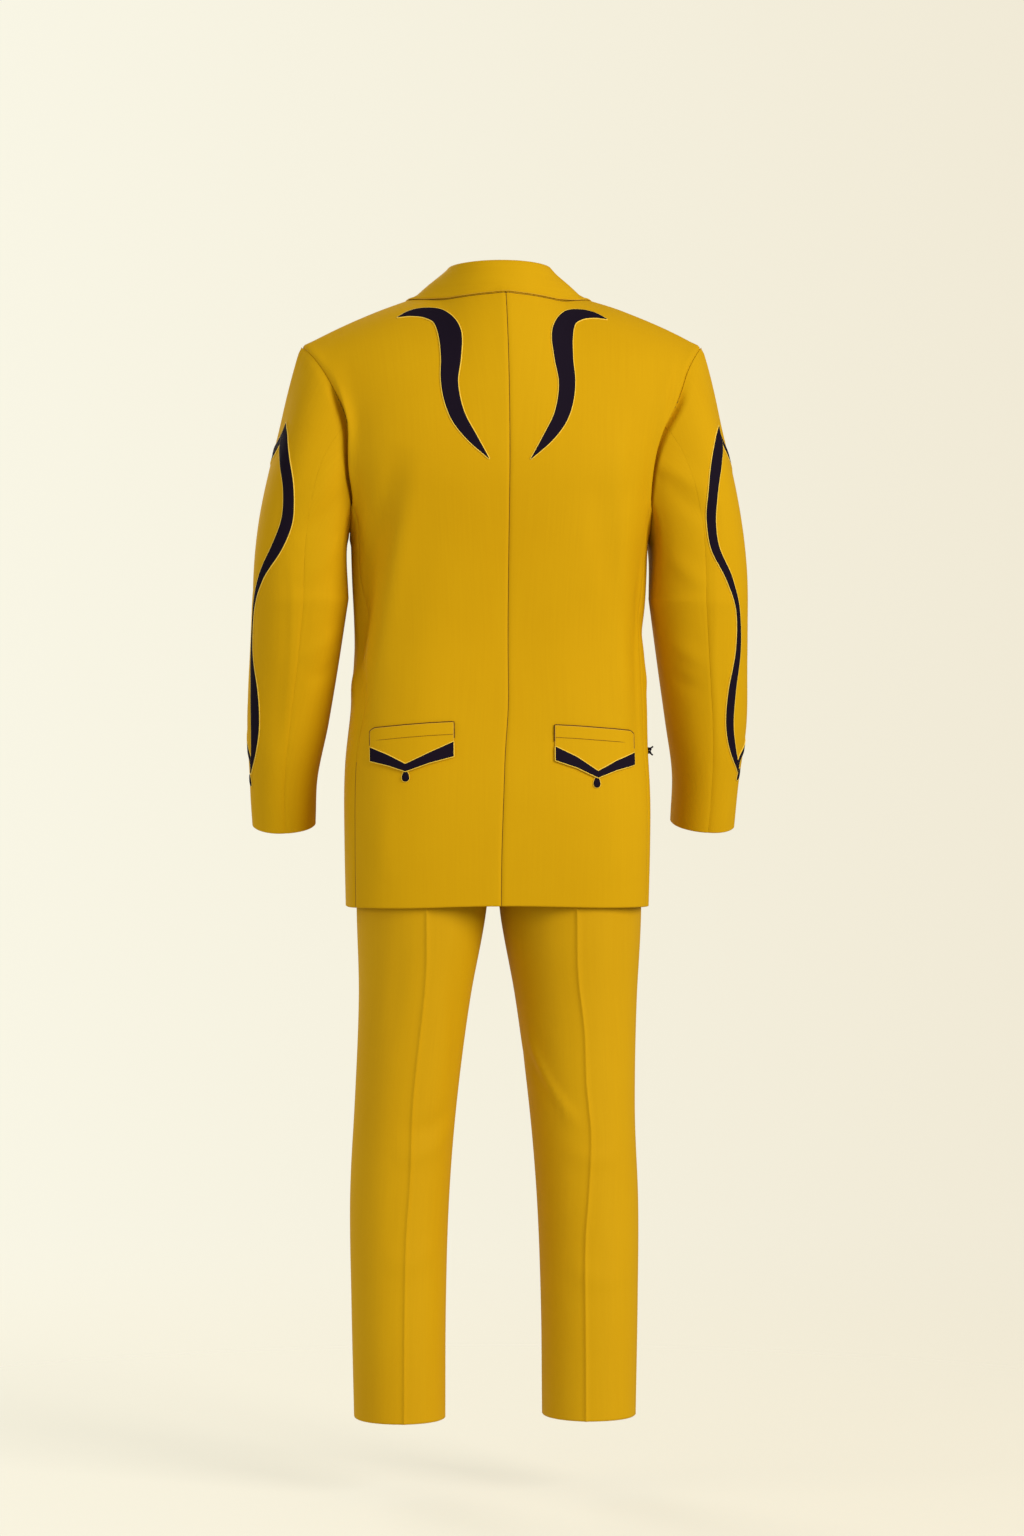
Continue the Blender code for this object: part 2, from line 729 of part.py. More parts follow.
def trouser_cloth():
    """The four leg panels."""
    rows = np.concatenate([even(0, LEG_ROWS_SHARE, LEG_ROWS[0]),
                           even(LEG_ROWS_SHARE, 1, LEG_ROWS[1])[1:]])
    pieces = []
    for label, side in SIDES:
        for face, turn in (("back", 1), ("front", -1)):
            points = grid(lambda u, v: leg_point(face, u, v), even(0, 1, LEG_COLUMNS), rows)
            fold = "leg" if face == "back" else None
            pieces.append(Cloth("leg_" + face + "_" + label, points, turn, TROUSER_CLOTH,
                                side, fold))
    sew(pieces)
    return pieces


def neck_seam(around):
    """The seam that the collar is sewn to: round the neck, then down the roll line."""
    if around <= 0.5:
        return back_point(NECK_SHARE * 2 * around, 1)
    height = NECK_POINT[2] + (GORGE_HEIGHT - NECK_POINT[2]) * (2 * around - 1)
    low, high = LOWER, 1.0
    for _ in range(40):
        v = (low + high) / 2
        low, high = (v, high) if front_point(0, v)[2] < height else (low, v)
    return front_point(0, v)


COLLAR_STEPS = 11        # from centre back to one end
COLLAR_FOLD = 0.0032     # half the room inside the collar's fold


def collar_station(around, side, tree):
    """The collar's middle line across its breadth: up the stand, over the fold, down the fall."""
    row = through(COLLAR, around)
    seam = neck_seam(around)
    fold = seam + row[:3]
    out = np.array((side, 1, 1)) * row[6:9]
    edge = on_surface(tree, np.array((side, 1, 1)) * row[3:6], out) * (side, 1, 1)
    edge = edge + unit(row[6:9]) * (LAID + COLLAR_CLOTH / 2)
    away = edge - fold
    away[2] = 0
    away = unit(away)
    up = np.array((0, 0, 1.0))
    line = [
        seam + (fold - seam) * 0.12 - away * 0.0004,
        seam + (fold - seam) * 0.60,
        fold - up * 0.0015,
        fold + away * COLLAR_FOLD * 0.9 + up * 0.0014,
        fold + away * COLLAR_FOLD * 2.1 - up * 0.0022,
        fold * 0.45 + edge * 0.55 + unit(row[6:9]) * 0.0038,
        edge,
    ]
    return np.array(line) * (side, 1, 1)


def collar(tree, finish, collection):
    """One folded band round the neck, from the end on the right to the end on the left."""
    turns = even(0, 1, COLLAR_STEPS)
    stations = [collar_station(t, -1, tree) for t in turns[::-1]]
    stations += [collar_station(t, 1, tree) for t in turns[1:]]
    points = np.array(stations)
    fall = points[:, 4:]
    outs = unit(np.repeat(unit(fall[:, 2:] * (1, 1, 0)) + (0, 0, 0.7), 3, axis=1))
    under = fall - outs * (COLLAR_CLOTH / 2 + LAID)
    rise = clearance(tree, under, outs)
    points[:, 4:] = fall + outs * rise
    piece = Cloth("collar", points, 1, COLLAR_CLOTH)
    middle = piece.normals[COLLAR_STEPS, 1]
    if middle[1] > 0:
        piece.normals = -piece.normals
    piece.leans = piece.normals
    return build_cloth(piece, finish, collection)


def lapel(label, side, tree, finish, collection):
    """The lapel, laid on the front from the roll line out to its edge and its pointed top."""
    bottom = LAPEL[0][0] if side == 1 else RIGHT_LAPEL_START
    rows = []
    for share in even(0, 1, 9):
        low = bottom + (GORGE_HEIGHT - 0.003 - bottom) * share
        inner = roll_x(low) + 0.0020
        if side == -1:
            inner = max(inner, -roll_x(low) + 0.0045)
        high = bottom + (LAPEL[-1][0] - bottom) * share
        outer = roll_x(high) + through(LAPEL, high)[0]
        row = []
        for across in even(0, 1, 4):
            x = inner + (outer - inner) * across
            z = low + (high - low) * across
            row.append(on_surface(tree, (side * x, -OUTSIDE, z), -Y_OUT))
        rows.append(row)
    lay("lapel_" + label, tree, np.array(rows), -Y_OUT, LAID, JACKET_CLOTH, finish, collection)


def button(name, tree, point, out, radius, thickness, finish, collection):
    """A disc that rests on the cloth with its face looking out."""
    across = unit(np.cross(np.array((0, 0, 1.0)), out))
    around = [2 * math.pi * k / 16 for k in range(16)]
    ring = [point + across * radius * math.cos(a) + np.array((0, 0, radius * math.sin(a)))
            for a in around]
    over = max(float((on_surface(tree, p, out) - p) @ out) for p in ring)
    work = bmesh.new()
    bmesh.ops.create_cone(work, cap_ends=True, segments=16, radius1=radius,
                          radius2=radius * 0.86, depth=thickness)
    turn = Vector(out).to_track_quat("Z", "Y").to_matrix().to_4x4()
    turn.translation = Vector(point + out * (thickness / 2 + max(over, 0) + 1.5 * SEAM))
    work.transform(turn)
    points = [vertex.co.copy() for vertex in work.verts]
    faces = [[vertex.index for vertex in face.verts] for face in work.faces]
    work.free()
    add_mesh(name, points, faces, finish, collection)


def drop(name, tree, point, out, size, thickness, finish, collection):
    """A teardrop with its narrow end up, laid on the cloth."""
    breadth, height = size
    out = np.array(out, float)
    across = unit(np.cross(np.array((0, 0, 1.0)), out))
    rim = []
    for k in range(12):
        turn = 2 * math.pi * k / 12
        narrow = 0.72 - 0.28 * math.cos(turn)
        rim.append((breadth * math.sin(turn) * narrow * 1.2, height * math.cos(turn)))
    low = [on_surface(tree, point + across * x + np.array((0, 0, z)), out) + out * LAID
           for x, z in rim]
    high = [p + out * thickness for p in low]
    count = len(rim)
    faces = [list(range(count)), [count + k for k in reversed(range(count))]]
    for k in range(count):
        after = (k + 1) % count
        faces.append([k, count + k, count + after, after])
    add_mesh(name, low + high, faces, finish, collection)


def flap_grid(side, tree, top_column, bottom_column, rows):
    """Points of a pocket flap or its band between two of the flap's edges."""
    found = []
    for down in even(0, 1, rows):
        line = []
        for along in even(0, 1, 8):
            row = through_line(FLAP, along)
            z = row[top_column] + (row[bottom_column] - row[top_column]) * down
            line.append(on_surface(tree, (side * row[0], OUTSIDE, z), Y_OUT))
        found.append(line)
    return np.array(found)


def through_line(rows, at):
    """The other columns' values on straight runs through the rows."""
    keys = [row[0] for row in rows]
    return np.array([np.interp(at, keys, [row[k] for row in rows])
                     for k in range(1, len(rows[0]))])


def pocket_flap(label, side, tree, collection):
    flap = flap_grid(side, tree, 1, 3, 4)
    lay("pocket_flap_" + label, tree, flap, Y_OUT, LAID, JACKET_CLOTH, JACKET_FINISH, collection)
    band = flap_grid(side, tree, 2, 3, 1)
    lay("flap_chevron_" + label, tree, band, Y_OUT, 2 * LAID + JACKET_CLOTH, TRIM, TRIM_FINISH,
        collection)
    place = on_surface(tree, (side * DROP[0], OUTSIDE, DROP[1]), Y_OUT)
    drop("flap_drop_" + label, tree, place, Y_OUT, DROP_SIZE, DROP_THICKNESS, TRIM_FINISH,
         collection)


def back_scroll(label, side, tree, collection):
    path = []
    halves = []
    for along in even(0, 1, 20):
        x, z, half = through(SCROLL, along)
        path.append((on_surface(tree, (side * x, OUTSIDE, z), Y_OUT), Y_OUT))
        halves.append(half)
    points = ribbon(tree, path, halves, 4)
    lay("back_scroll_" + label, tree, points, Y_OUT, LAID, TRIM, TRIM_FINISH, collection)


def sleeve_at(degrees, height):
    """The sleeve's surface and its outward way at an angle and a height."""
    around = degrees / 360
    low, high = 0.0, 1.0
    for _ in range(40):
        down = (low + high) / 2
        low, high = (down, high) if sleeve_point(around, down)[2] > height else (low, down)
    point = sleeve_point(around, down)
    across = sleeve_point(around + 0.01, down) - point
    along = sleeve_point(around, min(down + 0.01, 1)) - sleeve_point(around, down - 0.01)
    return point, unit(np.cross(along, across))


def sleeve_strip(name, side, mirrored, tree, collection):
    path = []
    halves = []
    mirror = np.array((side, 1, 1))
    for along in even(0.014 if mirrored else 0.0, 0.985 if mirrored else 1, 28):
        height, degrees, half = through(STRIP, along)
        if mirrored:
            join = min(along / 0.16, 1)
            degrees = degrees * (1 - join) + (2 * STRIP_MIRROR - degrees) * join
        point, out = sleeve_at(degrees, height)
        path.append((on_surface(tree, point * mirror, out * mirror), out * mirror))
        halves.append(half)
    points = ribbon(tree, path, halves, 2)
    outs = np.array([[out] * 3 for _, out in path])
    lay(name, tree, points, outs, LAID, TRIM, TRIM_FINISH, collection)


def waistband(collection):
    """A closed band round the waist, above the leg panels."""
    half_width, _, back, front, _ = through(HIPS, TROUSER_WAIST)
    steps = 32
    rows = []
    for rise in (SEAM, WAISTBAND):
        row = []
        for k in range(steps):
            turn = 2 * math.pi * k / steps
            depth = back if math.cos(turn) > 0 else front
            row.append((half_width * signed_power(math.sin(turn), 0.8) * (1 - 0.02 * (rise > SEAM)),
                        depth * signed_power(math.cos(turn), 0.8), TROUSER_WAIST + rise))
        rows.append(np.array(row))
    points = []
    for offset in (TROUSER_CLOTH / 2, -TROUSER_CLOTH / 2):
        for row in rows:
            flat = row.copy()
            flat[:, 2] = 0
            tangent = unit(np.roll(flat, -1, axis=0) - np.roll(flat, 1, axis=0))
            outward = np.stack([-tangent[:, 1], tangent[:, 0], tangent[:, 2]], axis=1)
            outward *= np.where((flat * outward).sum(axis=1, keepdims=True) < 0, -1, 1)
            points.append(row + outward * offset)
    low_out, high_out, low_in, high_in = (k * steps for k in range(4))
    faces = []
    for k in range(steps):
        n = (k + 1) % steps
        faces.append([low_out + k, low_out + n, high_out + n, high_out + k])
        faces.append([low_in + k, high_in + k, high_in + n, low_in + n])
        faces.append([low_out + k, low_in + k, low_in + n, low_out + n])
        faces.append([high_out + k, high_out + n, high_in + n, high_in + k])
    return add_mesh("waistband", np.concatenate(points), faces, TROUSER_FINISH, collection)


def fly(tree, collection):
    """The plain fly piece on the left front, laid beside the front seam."""
    rows = []
    for z in even(0.905, TROUSER_WAIST - 0.004, 6):
        breadth = 0.036 * min((z - 0.900) / 0.035, 1) ** 0.5
        rows.append([on_surface(tree, (0.0015 + breadth * k, -OUTSIDE, z), -Y_OUT)
                     for k in even(0, 1, 2)])
    lay("fly", tree, np.array(rows), -Y_OUT, LAID, TROUSER_CLOTH, TROUSER_FINISH, collection)


def knotted_tab(tree, collection):
    """The small knotted end of trim that stands out at the right side."""
    place = on_surface(tree, KNOT_PLACE, (-1, 0, 0))
    work = bmesh.new()
    bmesh.ops.create_icosphere(work, subdivisions=1, radius=1)
    for vertex in work.verts:
        pinch = 1 - 0.35 * math.cos(vertex.co.z * 3.0)
        vertex.co = Vector((vertex.co.x * KNOT_SIZE[0], vertex.co.y * KNOT_SIZE[1] * pinch,
                            vertex.co.z * KNOT_SIZE[2]))
        vertex.co += Vector(place) - Vector((KNOT_SIZE[0] + LAID, 0, 0))
    points = [vertex.co.copy() for vertex in work.verts]
    faces = [[vertex.index for vertex in face.verts] for face in work.faces]
    work.free()
    add_mesh("side_knot_right", points, faces, TRIM_FINISH, collection)


def jacket(collection):
    built = {piece.name: build_cloth(piece, JACKET_FINISH, collection)
             for piece in jacket_cloth()}
    body = tree_of([item for name, item in built.items() if not name.startswith("sleeve")])
    for label, side in SIDES:
        pocket_flap(label, side, body, collection)
        back_scroll(label, side, body, collection)
        lapel(label, side, body, JACKET_FINISH, collection)
        arm = tree_of([built["sleeve_top_" + label], built["sleeve_under_" + label]])
        sleeve_strip("sleeve_strip_back_" + label, side, False, arm, collection)
        sleeve_strip("sleeve_strip_front_" + label, side, True, arm, collection)
        point, out = sleeve_at(STRIP_MIRROR + 4, TAB_HEIGHT)
        mirror = np.array((side, 1, 1))
        out = unit(out * (1, 1, 0)) * mirror
        place = on_surface(arm, point * mirror, out)
        drop("strip_tab_" + label, arm, place, out, TAB_SIZE, TAB_THICKNESS,
             TRIM_FINISH, collection)
    collar(body, JACKET_FINISH, collection)
    for k, height in enumerate(BUTTON_HEIGHTS):
        place = on_surface(body, (0.0, -OUTSIDE, height), -Y_OUT)
        button("front_button_" + str(k + 1), body, place, -Y_OUT, BUTTON_RADIUS,
               BUTTON_THICKNESS, TRIM_FINISH, collection)
    knotted_tab(body, collection)


def trousers(collection):
    built = [build_cloth(piece, TROUSER_FINISH, collection) for piece in trouser_cloth()]
    fly(tree_of(built), collection)
    band = waistband(collection)
    tree = tree_of([band])
    place = on_surface(tree, (0.012, -OUTSIDE, TROUSER_WAIST + 0.02), -Y_OUT)
    button("waist_button", tree, place, -Y_OUT, *WAIST_BUTTON, TRIM_FINISH, collection)


def main():
    clear_scene()
    suit = bpy.data.collections.new("western_suit")
    bpy.context.scene.collection.children.link(suit)
    jacket(suit)
    trousers(suit)
    held = bpy.data.objects.new("held_at_the_shoulders", None)
    held.location = (0, 0, -HELD_AT)
    suit.objects.link(held)
    for item in suit.objects:
        if item.type == "MESH":
            item.parent = held


main()
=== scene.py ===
# %% [markdown]
# A western suit, seen from behind
#
# This notebook dresses a suit of jacket and trousers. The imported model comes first, as a fixed
# frame: every piece below lies where its solid lies, in metres, with the wearer's left at +X
# and the front at -Y. The origin is the middle of the shoulders, 1.5 m above the floor.

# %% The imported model
import bisect
import contextlib
import math

import bmesh
import bpy
import numpy as np
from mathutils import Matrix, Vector
from mathutils.bvhtree import BVHTree
from mathutils.kdtree import KDTree


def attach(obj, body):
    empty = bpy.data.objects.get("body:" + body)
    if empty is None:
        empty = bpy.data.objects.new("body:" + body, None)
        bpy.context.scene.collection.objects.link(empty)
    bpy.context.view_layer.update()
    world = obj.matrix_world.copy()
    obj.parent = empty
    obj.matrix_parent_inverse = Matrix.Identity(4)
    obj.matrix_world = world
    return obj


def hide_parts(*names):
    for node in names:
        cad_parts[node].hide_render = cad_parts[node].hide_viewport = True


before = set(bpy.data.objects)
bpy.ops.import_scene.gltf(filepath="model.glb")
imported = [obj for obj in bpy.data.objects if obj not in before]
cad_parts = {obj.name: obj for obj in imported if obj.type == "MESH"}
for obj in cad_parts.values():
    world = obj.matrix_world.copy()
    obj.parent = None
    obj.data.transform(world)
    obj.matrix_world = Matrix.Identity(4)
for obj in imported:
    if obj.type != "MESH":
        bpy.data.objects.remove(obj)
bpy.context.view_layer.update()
scene = bpy.context.scene
SIDES = (("left", 1), ("right", -1))
HELD_AT = 1.500      # height of the origin above the floor


def placed(name, data):
    """A new object in the scene."""
    made = bpy.data.objects.new(name, data)
    scene.collection.objects.link(made)
    return made


@contextlib.contextmanager
def edited(mesh):
    """A mesh that is opened for an edit and put back after it."""
    work = bmesh.new()
    work.from_mesh(mesh)
    yield work
    work.to_mesh(mesh)
    work.free()


# %% [markdown]
# The photograph is a long-lens picture from behind, turned six degrees towards the wearer's
# left. A real studio would use an 85 to 100 mm lens at five or six metres, so that upright
# lines stay upright. The camera does the same: it stands level with the middle of the picture.

# %% Camera
TURN = math.radians(174)
DISTANCE = 5.5
PICTURE_HEIGHT = 1.994
AIM = Vector((-0.0165, 0.0, -0.5630))

camera = placed("camera", bpy.data.cameras.new("camera"))
back_off = Vector((math.sin(TURN), -math.cos(TURN), 0))
camera.location = AIM + back_off * DISTANCE
camera.rotation_euler = (-back_off).to_track_quat("-Z", "Y").to_euler()
camera.data.lens = camera.data.sensor_width * DISTANCE / PICTURE_HEIGHT
scene.camera = camera
scene.view_settings.view_transform = "Standard"
print("lens", round(camera.data.lens, 1), "mm")

# %% [markdown]
# Shader maths reads best as plain sums. This small class wraps a socket, so that an expression
# such as 1 - mask * 0.3 adds its own Math nodes, and one method makes any other node. It applies
# the settings before the values or links, because settings can change the sockets.

# %% Writing shaders as sums
class Wire:
    """A node's output that takes part in sums."""

    def __init__(self, tree, socket):
        self.tree = tree
        self.socket = socket

    def sin(self):
        return self.tree.node("ShaderNodeMath", {0: self}, operation="SINE")[0]

    def clamped(self):
        return self.tree.node("ShaderNodeClamp", {0: self})[0]


def sum_of(operation, swapped):
    """What an operator does with a wire and another wire or a number."""
    def made(wire, other):
        pair = (other, wire) if swapped else (wire, other)
        return wire.tree.node("ShaderNodeMath", dict(enumerate(pair)), operation=operation)[0]
    return made


for sign, operation in (("add", "ADD"), ("sub", "SUBTRACT"), ("mul", "MULTIPLY"), ("pow", "POWER")):
    setattr(Wire, "__" + sign + "__", sum_of(operation, False))
    setattr(Wire, "__r" + sign + "__", sum_of(operation, True))


class Tree:
    """A node tree with one method that makes any node."""

    def __init__(self, tree):
        self.tree = tree

    def node(self, kind, values=None, **settings):
        made = self.tree.nodes.new(kind)
        for key, value in settings.items():
            setattr(made, key, value)
        for key, value in (values or {}).items():
            socket = made.inputs[key]
            if isinstance(value, Wire):
                self.tree.links.new(value.socket, socket)
            else:
                socket.default_value = value
        return [Wire(self, socket) for socket in made.outputs]

    def place(self):
        """Where a point lies on its object."""
        return self.node("ShaderNodeTexCoord")[3]

    def axes(self, vector):
        return self.node("ShaderNodeSeparateXYZ", {0: vector})

    def mix(self, share, first, second):
        """A colour between two colours."""
        return self.node("ShaderNodeMix", {"Factor": share, 6: first, 7: second},
                         data_type="RGBA")[2]

    def scaled(self, vector, factors):
        return self.node("ShaderNodeVectorMath", {0: vector, 1: factors},
                         operation="MULTIPLY")[0]

    def noise(self, vector, scale, detail=2.0, roughness=0.5):
        return self.node("ShaderNodeTexNoise", {
            "Vector": vector, "Scale": scale, "Detail": detail, "Roughness": roughness})[0]

    def bump(self, strength, distance, height):
        return self.node("ShaderNodeBump", {
            "Strength": strength, "Distance": distance, "Height": height})[0]

    def cover(self, **values):
        """A principled surface as the material's output."""
        named = {key.replace("_", " "): value for key, value in values.items()}
        surface = self.node("ShaderNodeBsdfPrincipled", named)[0]
        self.node("ShaderNodeOutputMaterial", {"Surface": surface})


def new_material(name):
    made = bpy.data.materials.new(name)
    made.use_nodes = True
    made.node_tree.nodes.clear()
    return made, Tree(made.node_tree)


def colour(*rgb):
    """Screen values from 0 to 255 as linear light."""
    levels = [v / 255 for v in rgb]
    return tuple(v / 12.92 if v <= 0.04045 else ((v + 0.055) / 1.055) ** 2.4
                 for v in levels) + (1.0,)


print("shader helpers ready")

# %% [markdown]
# The set stands in an even, warm-white studio. A wide round floor takes the soft shadow and
# fades with distance into the colour of the room, so that no horizon shows from any side.
# One large soft lamp stands at the right of the picture, and weaker ones at the left.

# %% Floor, room and lamps
ROOM_LIGHT = 0.42            # how much of the room's brightness lights the suit
FLOOR_RADIUS = 40.0
FADE = {"From Min": 0.7, "From Max": 3.4, "To Min": 0.68, "To Max": 1.0}
FLOOR_TINT = colour(252, 247, 232)
ROOM_TINTS = (colour(240, 233, 213), colour(249, 246, 229))     # right and left of the picture
ROOM_TURN = (3.8, 0.92)      # how fast and where one turns into the other


def round_floor():
    mesh = bpy.data.meshes.new("studio_floor")
    with edited(mesh) as work:
        bmesh.ops.create_circle(work, cap_ends=True, segments=96, radius=FLOOR_RADIUS)
        bmesh.ops.translate(work, vec=(0, 0, -HELD_AT), verts=work.verts[:])
    finish, tree = new_material("studio_floor")
    x, y, _ = tree.axes(tree.place())
    distance = (x * x + y * y) ** 0.5
    near = tree.node("ShaderNodeBsdfDiffuse", {"Color": FLOOR_TINT})[0]
    far = tree.node("ShaderNodeBsdfTransparent")[0]
    share = tree.node("ShaderNodeMapRange", {"Value": distance, **FADE},
                      interpolation_type="SMOOTHSTEP")[0]
    both = tree.node("ShaderNodeMixShader", {0: share, 1: near, 2: far})[0]
    tree.node("ShaderNodeOutputMaterial", {"Surface": both})
    mesh.materials.append(finish)
    placed("studio_floor", mesh)


round_floor()
room = bpy.data.worlds.new("room")
scene.world = room
room.use_nodes = True
room.node_tree.nodes.clear()
air = Tree(room.node_tree)
way = air.axes(air.node("ShaderNodeTexCoord")[0])[0]
sideways = (way * ROOM_TURN[0] + ROOM_TURN[1]).clamped()
seen = air.node("ShaderNodeLightPath")[0]
tint = air.mix(sideways, *ROOM_TINTS)
sky = air.node("ShaderNodeBackground", {
    "Color": tint, "Strength": seen * (1 - ROOM_LIGHT) + ROOM_LIGHT})[0]
air.node("ShaderNodeOutputWorld", {"Surface": sky})

LAMPS = (
    # name, place, aim height, size, watts, colour
    ("key", (-3.6, 4.1, 1.6), -0.4, 2.9, 298, (1.0, 0.955, 0.88)),
    ("fill", (3.6, 3.6, 0.4), -0.5, 2.6, 28, (1.0, 0.97, 0.92)),
    ("side", (4.4, 0.9, 0.1), -0.3, 1.6, 36, (1.0, 0.97, 0.92)),
    ("front", (1.6, -4.6, 1.8), -0.4, 2.6, 115, (1.0, 0.96, 0.90)),
)
for name, place, aim, size, watts, tint in LAMPS:
    lamp = placed(name, bpy.data.lights.new(name, "AREA"))
    lamp.data.size = size
    lamp.data.energy = watts
    lamp.data.color = tint
    lamp.location = place
    towards = Vector((0, 0, aim)) - lamp.location
    lamp.rotation_euler = towards.to_track_quat("-Z", "Y").to_euler()
print(len(LAMPS), "lamps")

# %% [markdown]
# A tailor cuts a jacket from sections: how wide and how deep the body is at the hem, the waist
# and the chest. The same named sizes as in the solids stand here, so that each finer piece lies
# exactly where its solid lies. Heights in the tables are above the floor.

# %% Sections of the jacket and where its seams run
JACKET_CLOTH = 0.0020    # wall of the jacket
TROUSER_CLOTH = 0.0018   # wall of the trousers
SEAM = 0.0003            # space between two pieces at a seam

JACKET_HEM = 0.759
CHEST = 1.285            # where the armhole meets the side panel
UNDERARM_DIP = 0.045     # how far the armhole drops below that under the arm
CUFF = 0.859
FORK = 0.837             # where the trouser legs part
TROUSER_WAIST = 1.062    # lower edge of the waistband
WAISTBAND = 0.038
TROUSER_HEM = 0.100

NECK_POINT = np.array((0.075, -0.010, 1.560))
NECK_BACK = np.array((0.0, 0.070, 1.566))
SHOULDER_TIP = np.array((0.258, -0.005, 1.478))
NECK_SHARE = 0.33        # share of the back's columns that end at the neck
BREAK_HEIGHT = 1.180     # where the lapels start to roll
OVERLAP = 0.018          # how far each front runs past the middle
SHOULDER_HOLLOW = 0.006  # how far the shoulder seam rises towards its tip

# Horizontal sections of the jacket's body. The squareness is the power of a superellipse.
BODY = (
    # height, half width, back depth, front depth, back squareness, front squareness
    (0.759, 0.1945, 0.114, 0.134, 3.1, 2.8),
    (0.840, 0.1962, 0.121, 0.134, 3.1, 2.7),
    (0.920, 0.1965, 0.124, 0.133, 3.0, 2.6),
    (1.010, 0.1915, 0.117, 0.128, 2.9, 2.4),
    (1.100, 0.1870, 0.109, 0.122, 2.8, 2.3),
    (1.190, 0.1905, 0.116, 0.124, 2.8, 2.3),
    (1.285, 0.1930, 0.128, 0.126, 2.8, 2.3),
)

# Where the two side seams run, as shares of the way round from centre back to centre front.
SIDE_SEAMS = (
    # height, side back seam, side front seam
    (0.759, 0.385, 0.640),
    (0.920, 0.385, 0.640),
    (1.100, 0.395, 0.635),
    (1.285, 0.410, 0.620),
)

print(len(BODY), "sections of the body, from", BODY[0][0], "to", BODY[-1][0], "m")

# %% Curves over the chest, the shoulder blades and the sleeve
# Handles of the curves that climb from the chest to the top of the back.
BACK_CLIMB = (
    # across, lower handle y, z, upper handle x, y, z
    (0.00, 0.014, 0.100, 0.000, 0.045, -0.066),
    (0.16, 0.016, 0.100, 0.000, 0.058, -0.046),
    (0.33, 0.020, 0.100, 0.000, 0.095, -0.014),
    (0.65, 0.027, 0.100, -0.004, 0.080, -0.009),
    (1.00, 0.035, 0.085, -0.023, 0.070, -0.023),
)

# The same for the front, from the roll line to the armhole.
FRONT_CLIMB = (
    # across, lower handle x, y, z, upper handle x, y, z
    (0.00, 0.022, -0.004, 0.090, -0.014, -0.055, -0.050),
    (0.50, 0.008, -0.016, 0.090, -0.020, -0.070, -0.016),
    (1.00, -0.006, -0.030, 0.075, -0.040, -0.060, -0.022),
)

# Rings of the sleeve below the cap. A ring leans so that the cuff is square to the arm.
SLEEVE = (
    # height, centre x, centre y, half width, half depth, lean
    (0.859, 0.2690, -0.074, 0.0400, 0.0500, 0.22),
    (0.922, 0.2718, -0.060, 0.0418, 0.0540, 0.22),
    (0.999, 0.2705, -0.040, 0.0510, 0.0570, 0.20),
    (1.077, 0.2640, -0.020, 0.0560, 0.0610, 0.14),
    (1.155, 0.2575, -0.004, 0.0605, 0.0650, 0.06),
)

# The way the cloth of the sleeve leaves the armhole, by share of the way round it:
# from the shoulder tip down the back, under the arm and up the front.
SLEEVE_HEAD = (
    # round, x, y, z
    (0.00, 0.30, 0.00, -0.95),
    (0.15, 0.55, 0.25, -0.80),
    (0.25, 0.65, 0.20, -0.73),
    (0.40, 0.55, 0.12, -0.50),
    (0.50, 0.45, 0.00, -0.30),
    (0.60, 0.55, -0.12, -0.50),
    (0.75, 0.65, -0.20, -0.73),
    (0.85, 0.55, -0.25, -0.80),
    (1.00, 0.30, 0.00, -0.95),
)

print(len(SLEEVE), "rings down the sleeve")

# %% Sections of the trousers
# Rings of a trouser leg. The crease is how far the cloth stands out at front and back.
LEG = (
    # height, centre x, centre y, half width, half depth, crease
    (0.100, 0.1240, 0.010, 0.0580, 0.0690, 0.004),
    (0.240, 0.1250, 0.006, 0.0600, 0.0710, 0.004),
    (0.376, 0.1235, 0.000, 0.0630, 0.0740, 0.004),
    (0.500, 0.1160, -0.004, 0.0655, 0.0780, 0.004),
    (0.636, 0.1065, -0.006, 0.0735, 0.0900, 0.004),
    (0.746, 0.0985, -0.004, 0.0855, 0.1020, 0.004),
    (0.837, 0.0940, 0.000, 0.0900, 0.1060, 0.003),
)

# Half sections of the trousers above the fork.
HIPS = (
    # height, half width, centre y, back depth, front depth, crease
    (0.837, 0.1840, 0.000, 0.1060, 0.1060, 0.003),
    (0.900, 0.1820, 0.000, 0.1050, 0.1040, 0.002),
    (0.980, 0.1740, 0.000, 0.0980, 0.1010, 0.001),
    (1.062, 0.1600, 0.000, 0.0900, 0.0980, 0.000),
)

# The fork seam from between the legs up to the waist: back and front.
FORK_SEAM = {"back": ((0.078, 0.842), (0.100, 0.925)), "front": ((-0.074, 0.842), (-0.108, 0.930))}

print(len(LEG), "rings down the leg")


# %% [markdown]
# Between the named sizes runs a smooth curve. A section of the body is a rounded square, which
# a superellipse gives with one number for its squareness, and the shoulders are swept with
# Bezier curves, because a tailor's pad makes one clean line from the neck to the tip.

# %% Smooth curves through the sizes
UP = np.array((0, 0, 1.0))


def even(start, end, steps):
    return np.linspace(start, end, steps + 1)


def smooth_step(values):
    values = np.clip(values, 0, 1)
    return values * values * (3 - 2 * values)


def climb(values, start, over):
    """Nothing up to a start, growing to 1 a length above it."""
    return smooth_step((values - start) / over)


def fall(values, start, over):
    """Nothing down to a start, growing to 1 a length below it."""
    return smooth_step((start - values) / over)


def unit(vectors):
    return vectors / np.maximum(np.linalg.norm(vectors, axis=-1, keepdims=True), 1e-12)


def steps_of(points, axis=0):
    """The distances between neighbouring points."""
    return np.linalg.norm(np.diff(points, axis=axis), axis=-1)


